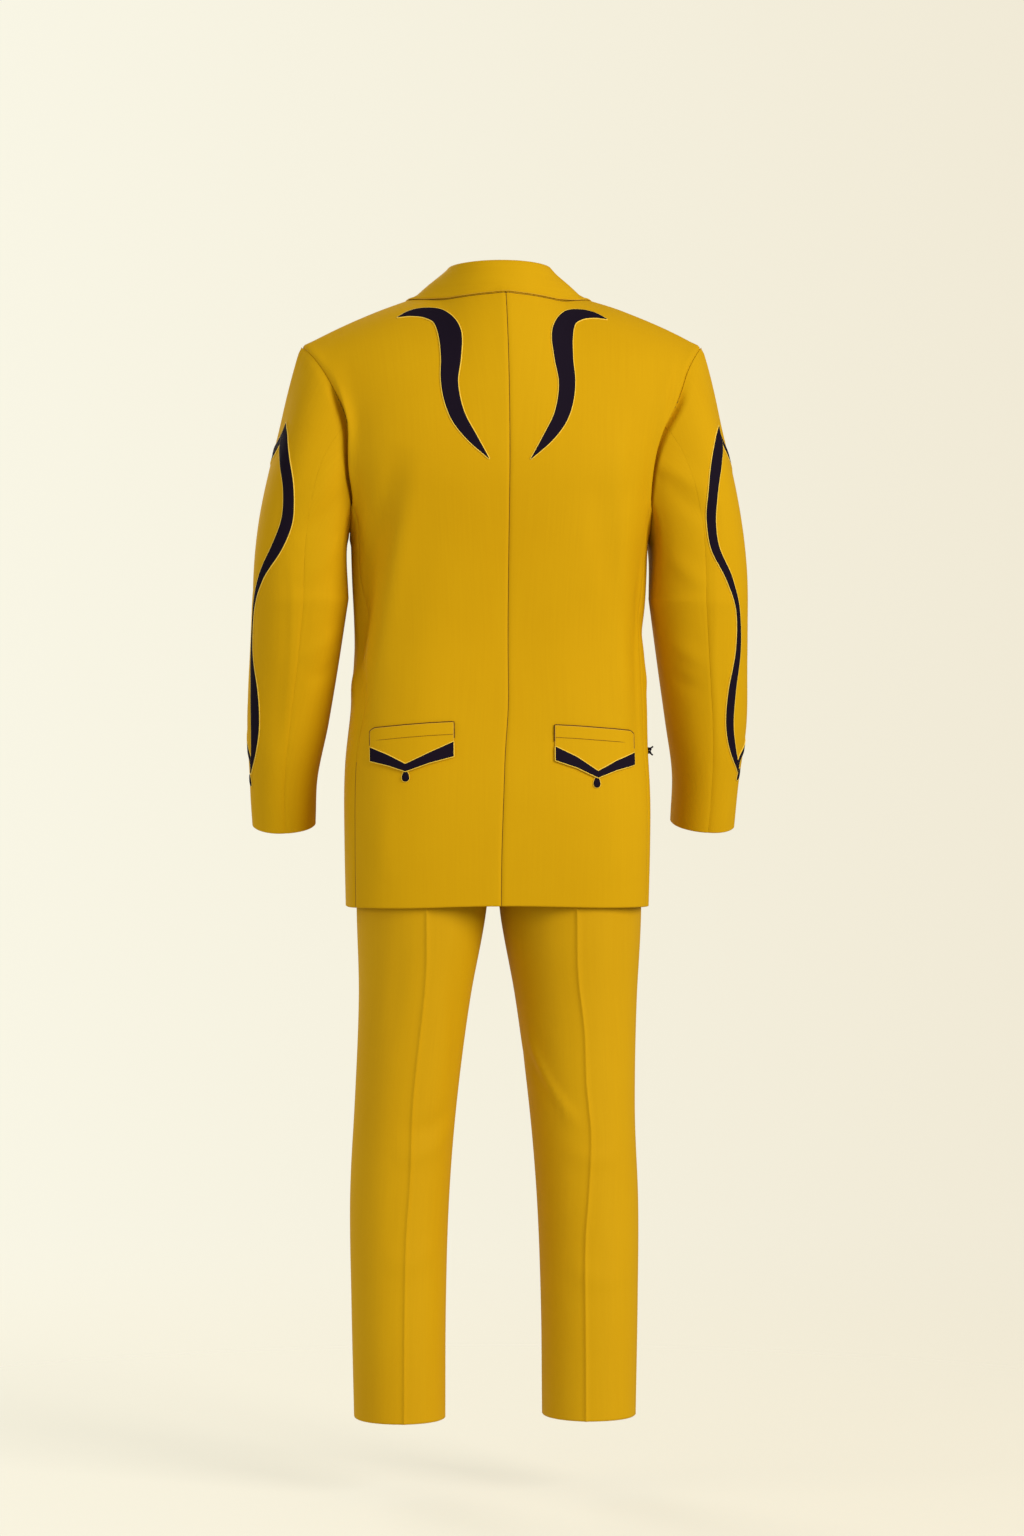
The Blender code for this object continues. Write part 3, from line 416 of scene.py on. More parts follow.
def hermite(start, leave, end, arrive, t, width=1):
    """A curve that leaves one point and arrives at another with given slopes."""
    return ((2 * t**3 - 3 * t**2 + 1) * start + (t**3 - 2 * t**2 + t) * width * leave
            + (3 * t**2 - 2 * t**3) * end + (t**3 - t**2) * width * arrive)


def through(rows, at):
    """The other columns' values on a smooth curve through rows whose first column grows."""
    keys = [row[0] for row in rows]
    at = min(max(at, keys[0]), keys[-1])
    i = min(max(bisect.bisect_right(keys, at) - 1, 0), len(rows) - 2)
    values = [np.array(row[1:], float) for row in rows]

    def slope(k):
        low = max(k - 1, 0)
        high = min(k + 1, len(rows) - 1)
        return (values[high] - values[low]) / (keys[high] - keys[low])

    width = keys[i + 1] - keys[i]
    return hermite(values[i], slope(i), values[i + 1], slope(i + 1), (at - keys[i]) / width,
                   width)


def bezier(a, b, c, d, t):
    s = 1 - t
    return s**3 * a + 3 * s * s * t * b + 3 * s * t * t * c + t**3 * d


def signed_power(value, power):
    return math.copysign(abs(value) ** power, value)


def round_turns(count):
    return np.linspace(0, 2 * math.pi, count, endpoint=False)


def halved(low, high, higher, times):
    """The place between two places where a test stops holding."""
    for _ in range(times):
        middle = (low + high) / 2
        low, high = (middle, high) if higher(middle) else (low, middle)
    return middle


print("half width at the chest", through(BODY, CHEST)[0])

# %% The body's sections
RING_STEPS = 480
ring_store = {}


def body_ring(height):
    """Points of the body's left half section, from centre back to centre front, and their
    shares of its length."""
    key = round(height, 5)
    if key not in ring_store:
        half_width, back, front, back_square, front_square = through(BODY, height)
        points = []
        for k in range(RING_STEPS + 1):
            turn = math.pi * k / RING_STEPS
            square = back_square if turn < math.pi / 2 else front_square
            depth = back if turn < math.pi / 2 else front
            points.append((
                half_width * abs(math.sin(turn)) ** (2 / square),
                depth * signed_power(math.cos(turn), 2 / square),
                height,
            ))
        points = np.array(points)
        steps = steps_of(points)
        ring_store[key] = (points, np.concatenate([[0], np.cumsum(steps)]) / steps.sum())
    return ring_store[key]


def body_point(share, height):
    points, shares = body_ring(height)
    return np.array([np.interp(share, shares, points[:, k]) for k in range(3)])


def share_at_front(x, height):
    """The share at which the front half of the section has this x."""
    points, shares = body_ring(height)
    front = np.arange(len(points)) > len(points) * 0.6
    return float(np.interp(-x, -points[front, 0], shares[front]))


print("hem girth", round(2 * steps_of(body_ring(JACKET_HEM)[0]).sum(), 3), "m")

# %% Back and front
LAPPED = JACKET_CLOTH + 3 * SEAM     # how far the left front lies over the right one
LAP_DOWN = (0.085, 0.045)            # where across the front that starts, and over what breadth
LOWER = 0.62     # share of a back or front panel's rows that lie below the chest


def seam_height(v):
    return JACKET_HEM + (CHEST - JACKET_HEM) * v / LOWER


def back_point(u, v):
    """The back: u from centre back to the side seam or armhole, v from hem to top."""
    if v <= LOWER:
        height = seam_height(v)
        return body_point(u * through(SIDE_SEAMS, height)[0], height)
    start = body_point(u * through(SIDE_SEAMS, CHEST)[0], CHEST)
    if u < NECK_SHARE:
        turn = math.pi / 2 * u / NECK_SHARE
        end = NECK_BACK + (NECK_POINT - NECK_BACK) * np.array(
            (math.sin(turn), 1 - math.cos(turn), 1 - math.cos(turn)))
    else:
        along = (u - NECK_SHARE) / (1 - NECK_SHARE)
        end = shoulder_point(along)
    low_y, low_z, high_x, high_y, high_z = through(BACK_CLIMB, u)
    return bezier(start, start + (0, low_y, low_z), end + (high_x, high_y, high_z), end,
                  (v - LOWER) / (1 - LOWER))


def shoulder_point(along):
    """The shoulder seam, from the neck point to the tip, with a slight hollow and a round tip."""
    point = NECK_POINT + (SHOULDER_TIP - NECK_POINT) * along
    return point + (0, 0, SHOULDER_HOLLOW * math.sin(math.pi * along) * along)


def roll_x(height):
    """How far from the middle the front edge or the roll line of the lapel is."""
    if height <= BREAK_HEIGHT:
        return -OVERLAP
    rise = (height - BREAK_HEIGHT) / (NECK_POINT[2] - BREAK_HEIGHT)
    return -OVERLAP + (NECK_POINT[0] + OVERLAP) * rise


def front_low(u, height):
    """The front at a height below the chest, whose inner end may lie past the middle."""
    inner = roll_x(height)
    seam = through(SIDE_SEAMS, height)[1]
    start = 2 - share_at_front(-inner, height) if inner < 0 else share_at_front(inner, height)
    share = start + (seam - start) * u
    point = body_point(2 - share, height) if share > 1 else body_point(share, height)
    return point * (-1, 1, 1) if share > 1 else point


def front_point(u, v):
    """The front: u from its edge or roll line to the side seam or armhole, v upwards."""
    if v <= LOWER:
        return front_low(u, seam_height(v))
    start = front_low(u, CHEST)
    end = shoulder_point(u)
    handles = through(FRONT_CLIMB, u)
    return bezier(start, start + handles[:3], end + handles[3:], end,
                  (v - LOWER) / (1 - LOWER))


def over_front(point):
    """The left front lies over the right one near the middle."""
    return LAPPED * fall(point[0], *LAP_DOWN)


print("shoulder seam", round(float(np.linalg.norm(SHOULDER_TIP - NECK_POINT)), 3), "m")

# %% Side panel, armhole and sleeve
def side_point(u, v):
    """The side panel: u from the side back seam to the side front one."""
    top = CHEST - UNDERARM_DIP * math.sin(math.pi * u)
    height = JACKET_HEM + (top - JACKET_HEM) * v
    back, front = through(SIDE_SEAMS, height)
    return body_point(back + (front - back) * u, height)


BACK_ROUND = 0.40    # share of the armhole that the back's edge takes
SIDE_ROUND = 0.20


def armhole_point(around):
    """The armhole, by share of the way round from the shoulder tip down the back."""
    around = around % 1.0
    if around <= BACK_ROUND:
        return back_point(1, 1 - (1 - LOWER) * around / BACK_ROUND)
    if around <= BACK_ROUND + SIDE_ROUND:
        return side_point((around - BACK_ROUND) / SIDE_ROUND, 1)
    return front_point(1, LOWER + (1 - LOWER) * (around - BACK_ROUND - SIDE_ROUND) / BACK_ROUND)


HEAD = 0.42          # share of the sleeve's rows above its highest ring
SLEEVE_TOP = SLEEVE[-1][0]
SLEEVE_POWER = 0.92


def sleeve_ring(around, height):
    centre_x, centre_y, half_width, half_depth, lean = through(SLEEVE, height)
    turn = 2 * math.pi * around
    y = half_depth * signed_power(math.sin(turn), SLEEVE_POWER)
    x = half_width * signed_power(math.cos(turn), SLEEVE_POWER)
    return np.array((centre_x + x, centre_y + y, height - lean * y))


def sleeve_point(around, down):
    """The sleeve: around from its outer line over the back, down from armhole to cuff."""
    if down >= HEAD:
        height = SLEEVE_TOP + (CUFF - SLEEVE_TOP) * (down - HEAD) / (1 - HEAD)
        return sleeve_ring(around, height)
    start = armhole_point(around)
    end = sleeve_ring(around, SLEEVE_TOP)
    reach = np.linalg.norm(end - start)
    leave = through(SLEEVE_HEAD, around % 1.0) * reach
    return hermite(start, leave, end, np.array((0.0, 0.0, -reach)), down / HEAD)


print("armhole at the tip", sleeve_point(0, 0).round(3))

# %% Trouser leg
LEG_ROWS_SHARE = 0.76    # share of the trousers' rows below the fork
HIP_BLEND = 0.45         # share of the rise over which the legs' rings turn into the hips'
LEG_POWER = 0.95
HIP_POWER = 0.8


def leg_point(face, u, v):
    """A trouser panel: u from the inner seam to the outer one, v from hem to waist."""
    way = 1 if face == "back" else -1
    turn = math.pi * (1 - u)
    if v <= LEG_ROWS_SHARE:
        height = TROUSER_HEM + (FORK - TROUSER_HEM) * v / LEG_ROWS_SHARE
        x, y, half_width, half_depth, _ = through(LEG, height)
        depth = half_depth * math.sin(turn) ** LEG_POWER
        return np.array((x + half_width * signed_power(math.cos(turn), LEG_POWER),
                         y + way * depth, height))
    rise = (v - LEG_ROWS_SHARE) / (1 - LEG_ROWS_SHARE)
    height = FORK + (TROUSER_WAIST - FORK) * rise
    half_width, _, back, front, _ = through(HIPS, height)
    low, high = FORK_SEAM[face]
    top = through(HIPS, TROUSER_WAIST)[2 if face == "back" else 3]
    inner = bezier(np.array((0, FORK)), np.array(low), np.array(high),
                   np.array((way * top, TROUSER_WAIST)), rise)
    blend = smooth_step(rise / HIP_BLEND)
    leg = through(LEG, FORK)
    depth = leg[3] * math.sin(turn) ** LEG_POWER
    low_ring = np.array((leg[0] + leg[2] * signed_power(math.cos(turn), LEG_POWER), way * depth, 0))
    quarter = math.pi / 2 * u
    full = back if face == "back" else front
    high_ring = np.array((half_width * math.sin(quarter) ** HIP_POWER,
                          way * full * math.cos(quarter) ** HIP_POWER, 0))
    point = low_ring * (1 - blend) + high_ring * blend
    first = np.array((leg[0] - leg[2], 0)) * (1 - blend) + np.array((0, way * full)) * blend
    fade = (1 - u) ** 2
    point[:2] += fade * (np.array((0, inner[0])) - first)
    point[2] = inner[1] * fade + height * (1 - fade)
    point[0] = max(point[0], 0.0)
    return point


print("leg at the hem", leg_point("back", 0.5, 0).round(3))

# %% [markdown]
# Every cut piece is a fine grid of points on the middle of its cloth. The grid could be even,
# but a seam is a groove only two or three millimetres wide, so the rows and columns stand
# closer together beside each seam. Between the coarse points a smooth curve is followed, and
# two pieces that share a seam run through the same coarse points and so meet exactly.

# %% Fine grids
FINER = 4
BESIDE_A_SEAM = (0.06, 0.16, 0.40)      # shares of a coarse cell


def stations(cells):
    """Places along a run of coarse cells, closer together at both ends."""
    even_ones = np.arange(1, cells * FINER) / FINER
    inside = even_ones[(even_ones > BESIDE_A_SEAM[-1] + 0.1)
                       & (even_ones < cells - BESIDE_A_SEAM[-1] - 0.1)]
    low = np.array((0.0,) + BESIDE_A_SEAM)
    return np.concatenate([low, inside, cells - low[::-1]])


def finer(points, runs, bends=False):
    """More points along the first axis, on smooth curves that may break between the runs."""
    parts = []
    start = 0
    whole = np.gradient(points, axis=0)
    for cells in runs:
        part = points[start:start + cells + 1]
        slopes = np.gradient(part, axis=0) if bends else whole[start:start + cells + 1]
        places = stations(cells)
        below = np.minimum(places.astype(int), cells - 1)
        t = (places - below)[:, None, None]
        found = hermite(part[below], slopes[below], part[below + 1], slopes[below + 1], t)
        parts.append(found if start == 0 else found[1:])
        start += cells
    return np.concatenate(parts)


def split(marks, runs):
    """Places split evenly between marks, with a number of cells in each run."""
    return np.concatenate([even(a, b, n)[k > 0:] for k, (a, b, n)
                           in enumerate(zip(marks, marks[1:], runs))])


def flipped(points):
    return points.transpose(1, 0, 2)


def fine_grid(function, u_marks, u_runs, v_marks, v_runs, ease=None, bends=False):
    """A fine grid over a piece whose coarse cells are split evenly between marks."""
    points = np.array([[function(u, v) for u in split(u_marks, u_runs)]
                       for v in split(v_marks, v_runs)])
    if ease:
        points = ease(points)
    return flipped(finer(flipped(finer(points, v_runs)), u_runs, bends))


def grid_normals(points, turn):
    """Normals of a grid whose rows climb, turned outwards by 1 or -1."""
    return unit(np.cross(np.gradient(points, axis=0), np.gradient(points, axis=1))) * turn


print("places along three cells", stations(3).round(2))

# %% [markdown]
# The two sweeps of the back meet at the chest and at the neck point with a faint kink. Cloth
# bridges such a kink, so the coarse points inside a piece are drawn towards their neighbours
# a few times, while its edges stay where the seams are.

# %% Easing the inside of a piece
EASING = (0.55, -0.50)       # each pass draws the points in and pushes them back a little
EASED_FROM = 3               # coarse cells from the edge where the whole easing starts
KINK_UP = (1.34, 0.06)       # where the back is eased more
KINK_PASSES = 9


def draw_in(points, weight, push):
    """Move the inside of a grid towards the middle of each point's four neighbours."""
    pull = (points[:-2, 1:-1] + points[2:, 1:-1] + points[1:-1, :-2] + points[1:-1, 2:]) / 4
    points[1:-1, 1:-1] += (pull - points[1:-1, 1:-1]) * weight * push


def ease_inside(points, passes=3):
    rows, columns = points.shape[:2]
    away = np.minimum.outer(np.minimum(np.arange(rows), np.arange(rows)[::-1]),
                            np.minimum(np.arange(columns), np.arange(columns)[::-1]))
    weight = np.clip(away / EASED_FROM, 0, 1)[1:-1, 1:-1, None]
    eased = points.copy()
    for push in EASING * passes:
        draw_in(eased, weight, push)
    return eased


def ease_back(points):
    """The same, with the kink below the neck point smoothed away."""
    eased = ease_inside(points)
    weight = climb(eased[1:-1, 1:-1, 2:], *KINK_UP)
    for _ in range(KINK_PASSES):
        draw_in(eased, weight, 0.6)
    return eased


# %% [markdown]
# The jacket hangs unevenly. The right shoulder stands higher and broader than the left one,
# the right sleeve stands farther out, and both cuffs swing out and up a little. Below the
# shoulder blades the back's corners sink in, on the left along a slanting line. The cloth is
# moved for this before it is sewn. The amount depends only on the place and the side, so the
# seams still meet.

# %% The uneven hang
HANG = {
    # height, outwards at the sleeve's outer line, outwards at its inner line
    1: ((0.86, 0.0070, 0.0060), (0.90, 0.0072, 0.0032), (0.95, 0.0052, 0.0010),
        (1.00, 0.0026, 0.0000), (1.10, 0.0005, 0.0000), (1.25, 0.0000, 0.0000),
        (1.36, -0.0034, 0.0000), (1.42, -0.0020, 0.0000), (1.53, 0.0000, 0.0000)),
    -1: ((0.86, 0.0088, 0.0066), (0.95, 0.0080, 0.0054), (1.05, 0.0067, 0.0028),
         (1.15, 0.0066, 0.0010), (1.20, 0.0066, 0.0000), (1.30, 0.0054, 0.0000),
         (1.37, 0.0048, 0.0000), (1.42, 0.0066, 0.0000), (1.53, 0.0085, 0.0000)),
}
SHOULDER_RISE = {1: 0.0028, -1: 0.0075}
CUFF_RISE = 0.0090           # how far the cuff's inner side is drawn up
ARMHOLE_OUT = {
    # side: how far out the back of the armhole swings, around what height, within what height
    1: (0.0085, 1.315, 0.042),
    -1: (0.0085, 1.412, 0.030),
}
SEAM_SWING = 0.0060          # how far the centre back seam swings to the left at the hem
HEM_RISE = 0.0030            # how far the hem rises at its middle
SKIRT_SWAY = 0.0032          # how far the skirt hangs over to the left
CORNER = {
    # side: from centre at its top, how much farther out per metre down, how far it sinks in
    1: (0.118, 0.155, 0.025),
    -1: (0.142, 0.010, 0.020),
}

# Where each of these changes starts, and over what length it grows.
OUTER_UP, OUTER_ACROSS = (1.30, 0.12), (0.195, 0.10)
OUTER_SHIFT = (0.075, 0.02)      # how much nearer, and over how much more, that is high up
BEHIND_OVER = 0.05
ARMHOLE_BREADTH = (0.19, 0.04)   # where across the back the armhole swings out
SHOULDER_ACROSS, SHOULDER_UP = (0.07, 0.09), (1.38, 0.08)
CUFF_DOWN = (1.00, 0.12)
CORNER_TOP, CORNER_OVER = 1.345, 0.044
CORNER_DOWN, CORNER_UP = (1.29, 0.10), (0.86, 0.14)
SWAY_DOWN = (1.03, 0.09)
SWING_DOWN, SWING_ACROSS = (1.05, 0.25), (0, 0.14)
HEM_DOWN, HEM_ACROSS = (0.85, 0.10), (0.01, 0.14)

HANG_HEIGHTS = even(0.85, 1.55, 140)
HANG_FINE = {side: np.array([through(rows, h) for h in HANG_HEIGHTS])
             for side, rows in HANG.items()}


def hung(points, side, arm):
    """Points of one side, in a frame where it is the left one, moved as the jacket hangs."""
    points = np.array(points, float)
    x, z = points[..., 0].copy(), points[..., 2].copy()
    fine = HANG_FINE[side]
    outer = np.interp(z, HANG_HEIGHTS, fine[:, 0])
    inner = np.interp(z, HANG_HEIGHTS, fine[:, 1])
    upper = climb(z, *OUTER_UP)
    start, over = OUTER_ACROSS
    share = climb(x, start - OUTER_SHIFT[0] * upper, over + OUTER_SHIFT[1] * upper)
    points[..., 0] += outer * share + arm * inner * (1 - share)
    points[..., 2] += SHOULDER_RISE[side] * climb(x, *SHOULDER_ACROSS) * climb(z, *SHOULDER_UP)
    points[..., 2] += arm * CUFF_RISE * (1 - 0.55 * share) * fall(z, *CUFF_DOWN)
    behind = smooth_step(points[..., 1] / BEHIND_OVER)
    out, middle, within = ARMHOLE_OUT[side]
    start, over = ARMHOLE_BREADTH
    points[..., 0] += out * behind * np.exp(-(((x - start) / over) ** 2)
                                            - ((z - middle) / within) ** 2)
    start, slope, depth = CORNER[side]
    corner = smooth_step((x - start - slope * (CORNER_TOP - z)) / CORNER_OVER) \
        * fall(z, *CORNER_DOWN) * climb(z, *CORNER_UP)
    points[..., 1] -= depth * corner * behind * (1 - arm)
    points[..., 0] += side * SKIRT_SWAY * fall(z, *SWAY_DOWN) * (1 - arm)
    low = fall(z, *SWING_DOWN) * behind * (1 - arm)
    points[..., 0] += side * SEAM_SWING * low * (1 - climb(x, *SWING_ACROSS))
    points[..., 2] += HEM_RISE * fall(z, *HEM_DOWN) * (1 - arm) * (1 - climb(x, *HEM_ACROSS))
    return points


def mirror(side):
    return np.array((side, 1, 1))


class Panel:
    """A cut piece of cloth: the middle of its wall and the way it looks out."""

    def __init__(self, name, group, points, turn, thickness, side):
        if group != "legs":
            points = hung(points, side, float(group != "body"))
        self.name = name
        self.group = group
        self.thickness = thickness
        self.side = side
        self.points = points * mirror(side)
        self.leans = grid_normals(points, turn) * mirror(side)
        self.size = points.shape[:2]
        self.edge = self.edge_distance()

    def edge_distance(self):
        """How far each point is from each edge, along the cloth: low, high, left, right."""
        low = np.vstack([np.zeros((1, self.size[1])), np.cumsum(steps_of(self.points), axis=0)])
        left = np.hstack([np.zeros((self.size[0], 1)),
                          np.cumsum(steps_of(self.points, 1), axis=1)])
        return {"low": low, "high": low[-1:] - low, "left": left, "right": left[:, -1:] - left}


# %% The cut pieces of the jacket
BODY_CELLS = (22, 16)        # coarse cells below and above the chest
NECK_CELLS = 6
SHOULDER_CELLS = 14
SIDE_CELLS = 8
HEAD_CELLS = 16
ARM_CELLS = 18


def left_front(u, v):
    """The left front, lifted where it laps over the right one."""
    point = front_point(u, v)
    if point[2] < CHEST + 0.005:
        across = front_point(min(u + 0.004, 1), v) - front_point(max(u - 0.004, 0), v)
        out = unit(np.cross(across, UP))
        point = point + out * over_front(point)
    return point


def jacket_panels():
    panels = []
    rows = ((0, LOWER, 1), BODY_CELLS)
    for label, side in SIDES:
        back = fine_grid(back_point, (0, NECK_SHARE, 1), (NECK_CELLS, SHOULDER_CELLS), *rows,
                         ease=ease_back)
        under = fine_grid(side_point, (0, 1), (SIDE_CELLS,), (0, 1), BODY_CELLS[:1])
        front = fine_grid(left_front if side == 1 else front_point, (0, 1), (SHOULDER_CELLS,),
                          *rows, ease=ease_inside)
        for part, points, turn in (("back_", back, 1), ("side_", under, 1), ("front_", front, -1)):
            panels.append(Panel(part + label, "body", points, turn, JACKET_CLOTH, side))
        for part, marks, cells in (
                ("sleeve_top_", (-0.25, 0, 0.25), (10, 10)),
                ("sleeve_under_", (0.25, 0.4, 0.6, 0.75), (6, 8, 6))):
            arm = fine_grid(lambda a, up: sleeve_point(a, 1 - up), marks, cells,
                            (0, 1 - HEAD, 1), (ARM_CELLS, HEAD_CELLS))
            panels.append(Panel(part + label, "sleeve_" + label, arm, -1, JACKET_CLOTH, side))
    return panels


jacket = jacket_panels()
for panel in jacket[:5]:
    print(panel.name, panel.size, "points")

# %% [markdown]
# Trousers are pressed flat with a crease down the middle of the front and of the back. On a
# worn leg the crease wanders with the cloth: a column of the grid follows it, so that its edge
# can be sharp. Low down the legs hang a few millimetres towards the wearer's left, and high up
# their outer edges stand as far towards the right.

# %% The cut pieces of the trousers
CREASE_AT = {
    # height, share of the way from the inner seam to the outer one
    ("back", "left"): ((0.10, 0.500), (0.32, 0.487), (0.41, 0.474), (0.51, 0.490), (0.60, 0.486),
                       (0.67, 0.486), (0.76, 0.506), (1.07, 0.500)),
    ("back", "right"): ((0.10, 0.442), (0.32, 0.440), (0.40, 0.476), (0.466, 0.502),
                        (0.53, 0.492), (0.60, 0.494), (0.67, 0.478), (0.76, 0.490),
                        (1.07, 0.490)),
    ("front", "left"): ((0.10, 0.505), (1.07, 0.500)),
    ("front", "right"): ((0.10, 0.490), (1.07, 0.500)),
}
LEG_LEAN = 0.0065            # how far the legs hang towards the wearer's left
LEG_SET = 0.0068             # how far their outer edges stand back towards the right, high up
RIGHT_FULLER = 0.0036        # how far the right leg's inner edge stands farther in
LEG_CELLS = (10, 10)         # coarse cells on each side of the crease
LEG_ROWS = (24, 14)          # coarse cells below and above the fork
LEAN_DOWN = (FORK + 0.06, 0.12)
SET_UP, SET_DOWN = (0.42, 0.30), (FORK + 0.16, 0.14)
FULLER_DOWN = (FORK - 0.02, 0.06)


def creased_leg(face, label, side):
    def at(u, v):
        height = leg_point(face, 0.5, v)[2]
        crease = through(CREASE_AT[face, label], height)[0]
        share = 2 * u * crease if u < 0.5 else crease + (2 * u - 1) * (1 - crease)
        point = leg_point(face, share, v)
        low = fall(point[2], *LEAN_DOWN)
        high = climb(point[2], *SET_UP) * fall(point[2], *SET_DOWN)
        point[0] += side * (LEG_LEAN * low - LEG_SET * high * u)
        if side == -1:
            point[0] -= RIGHT_FULLER * (1 - u) * fall(point[2], *FULLER_DOWN)
        return point
    return fine_grid(at, (0, 0.5, 1), LEG_CELLS, (0, LEG_ROWS_SHARE, 1), LEG_ROWS, bends=True)


trousers = [Panel("leg_" + face + "_" + label, "legs", creased_leg(face, label, side), turn,
                  TROUSER_CLOTH, side)
            for label, side in SIDES for face, turn in (("back", 1), ("front", -1))]
for panel in trousers[:2]:
    print(panel.name, panel.size, "points")

# %% [markdown]
# Pieces are sewn with the edges turned in, so along a seam both walls look the same way and dip
# into a shallow groove. For every point on a rim the nearest rim point of each other piece is
# found, the two walls are turned alike, and the edge reaches a little way into the seam.

# %% Sewing the pieces together
SEWN_WITHIN = 0.0030
SEWN_SHARE = 0.6             # share of an edge's points that must touch another piece
SHARPEST = 0.55              # least share of a normal kept at a folded seam
SEAM_DIP = 0.0015
SEAM_BREADTH = 0.0018
SEAM_LAP = 0.00012           # how far each edge reaches into its seam, so that no slit is left
TURN_REACH = 0.006           # how far into a piece its points turn with the seam,
TURN_SHARE = 0.6             # and how much


INWARD = {"low": (1, 0), "high": (-1, 0), "left": (0, 1), "right": (0, -1)}


def rim_of(rows, columns):
    """The places on the rim of a grid, once round."""
    rim = [(0, c) for c in range(columns)] + [(r, columns - 1) for r in range(1, rows)]
    rim += [(rows - 1, c) for c in range(columns - 2, -1, -1)]
    return rim + [(r, 0) for r in range(rows - 2, 0, -1)]


def edges_at(size, r, c):
    there = (r == 0, r == size[0] - 1, c == 0, c == size[1] - 1)
    return [name for name, on in zip(INWARD, there) if on]


def outward(points, r, c, edges=tuple(INWARD)):
    """The way out of a grid at a place on its rim, over the edges that are named."""
    way = np.zeros(3)
    for name in edges_at(points.shape[:2], r, c):
        if name in edges:
            down, along = INWARD[name]
            way += unit(points[r, c] - points[r + down, c + along])
    return way


def sew(panels):
    trees = []
    for panel in panels:
        rim = rim_of(*panel.size)
        tree = KDTree(len(rim))
        for k, place in enumerate(rim):
            tree.insert(panel.points[place], k)
        tree.balance()
        trees.append((panel, rim, tree))
    for panel, rim, _ in trees:
        panel.turned = panel.leans.copy()
        panel.moved = np.zeros_like(panel.points)
        touched = dict.fromkeys(INWARD, 0)
        for r, c in rim:
            total = panel.leans[r, c].copy()
            for other, other_rim, tree in trees:
                if other is not panel:
                    _, k, away = tree.find(panel.points[r, c])
                    if away < SEWN_WITHIN:
                        total += other.leans[other_rim[k]]
                        for name in edges_at(panel.size, r, c):
                            touched[name] += 1
            shared = unit(total)
            panel.turned[r, c] = shared / max(float(shared @ panel.leans[r, c]), SHARPEST)
            panel.moved[r, c] = outward(panel.points, r, c) * SEAM_LAP
        panel.seams = [name for name, count in touched.items()
                       if count > SEWN_SHARE * panel.size[name in ("low", "high")]]
    for panel in panels:
        for name in panel.seams:
            spread_lean(panel, name)
        panel.leans = panel.turned


def spread_lean(panel, name):
    """The points just inside a seam turn part of the way with it."""
    leans = panel.turned
    away = panel.edge[name][:, :, None]
    at = {"low": leans[:1], "high": leans[-1:], "left": leans[:, :1], "right": leans[:, -1:]}
    share = np.exp(-((away / TURN_REACH) ** 2)) * (away > 0)
    leans += (unit(at[name]) - leans) * share * TURN_SHARE


sew(jacket)
sew(trousers)
for panel in jacket[:5] + trousers[:2]:
    print(panel.name, "is sewn at its edges:", ", ".join(panel.seams))

# %% [markdown]
# Folds are what makes cloth look like cloth, and these are listed one by one, each in its own
# size. A fold is a line drawn on the garment with a breadth on either side of it and a rise,
# which is negative for a trough. Its ends taper away. The line is dropped on the bare form
# from outside, and every point of the cloth near it moves along its own outward way.

# %% Folds drawn on the cloth
def surface_tree(panels, out=0):
    """A search tree over the middles of the walls, or with 1 over their outer faces."""
    points = []
    faces = []
    for panel in panels:
        start = len(points)
        surface = panel.points + panel.leans * panel.thickness / 2 * out
        points += [Vector(p) for p in surface.reshape(-1, 3)]
        faces += [tuple(start + k for k in quad) for quad in quads(*panel.size)]
    return BVHTree.FromPolygons(points, faces)


def quads(rows, columns):
    return [(a, a + 1, a + columns + 1, a + columns) for r in range(rows - 1)
            for a in range(r * columns, (r + 1) * columns - 1)]


OUT_OF = {"back": (0, 1, 0), "front": (0, -1, 0), "left": (1, 0, 0), "right": (-1, 0, 0)}
REACH = 0.06         # how far outside a surface the search for it starts
OUTSIDE = 0.12       # depth from which points in front or behind are dropped on the cloth
BESIDE = 0.19        # distance from the middle from which they are dropped at the sides
NUDGES = (0, 0.0002, -0.0003, 0.0005)    # small steps aside where the search meets a seam


def on_surface(tree, point, out):
    """The point of a surface that lies against a direction that looks out from it."""
    out = Vector(out).normalized()
    point = Vector(point)
    for nudge in NUDGES:
        aside = Vector((nudge, nudge * 0.6, nudge * 0.8))
        hit = tree.ray_cast(point + aside + out * REACH, -out)[0]
        if hit is not None:
            return np.array(hit - aside)
    return np.array(tree.find_nearest(point)[0])


def smooth_line(marks, step):
    """Points at even steps on a smooth curve through a few marks."""
    marks = [np.array(m, float) for m in marks]
    rows = [(k, *m) for k, m in enumerate(marks)]
    fine = np.array([through(rows, t) for t in np.linspace(0, len(marks) - 1, 16 * len(marks))])
    lengths = np.concatenate([[0], np.cumsum(steps_of(fine))])
    count = max(int(lengths[-1] / step), 3)
    places = np.linspace(0, lengths[-1], count + 1)
    return np.stack([np.interp(places, lengths, fine[:, k]) for k in range(fine.shape[1])], 1)


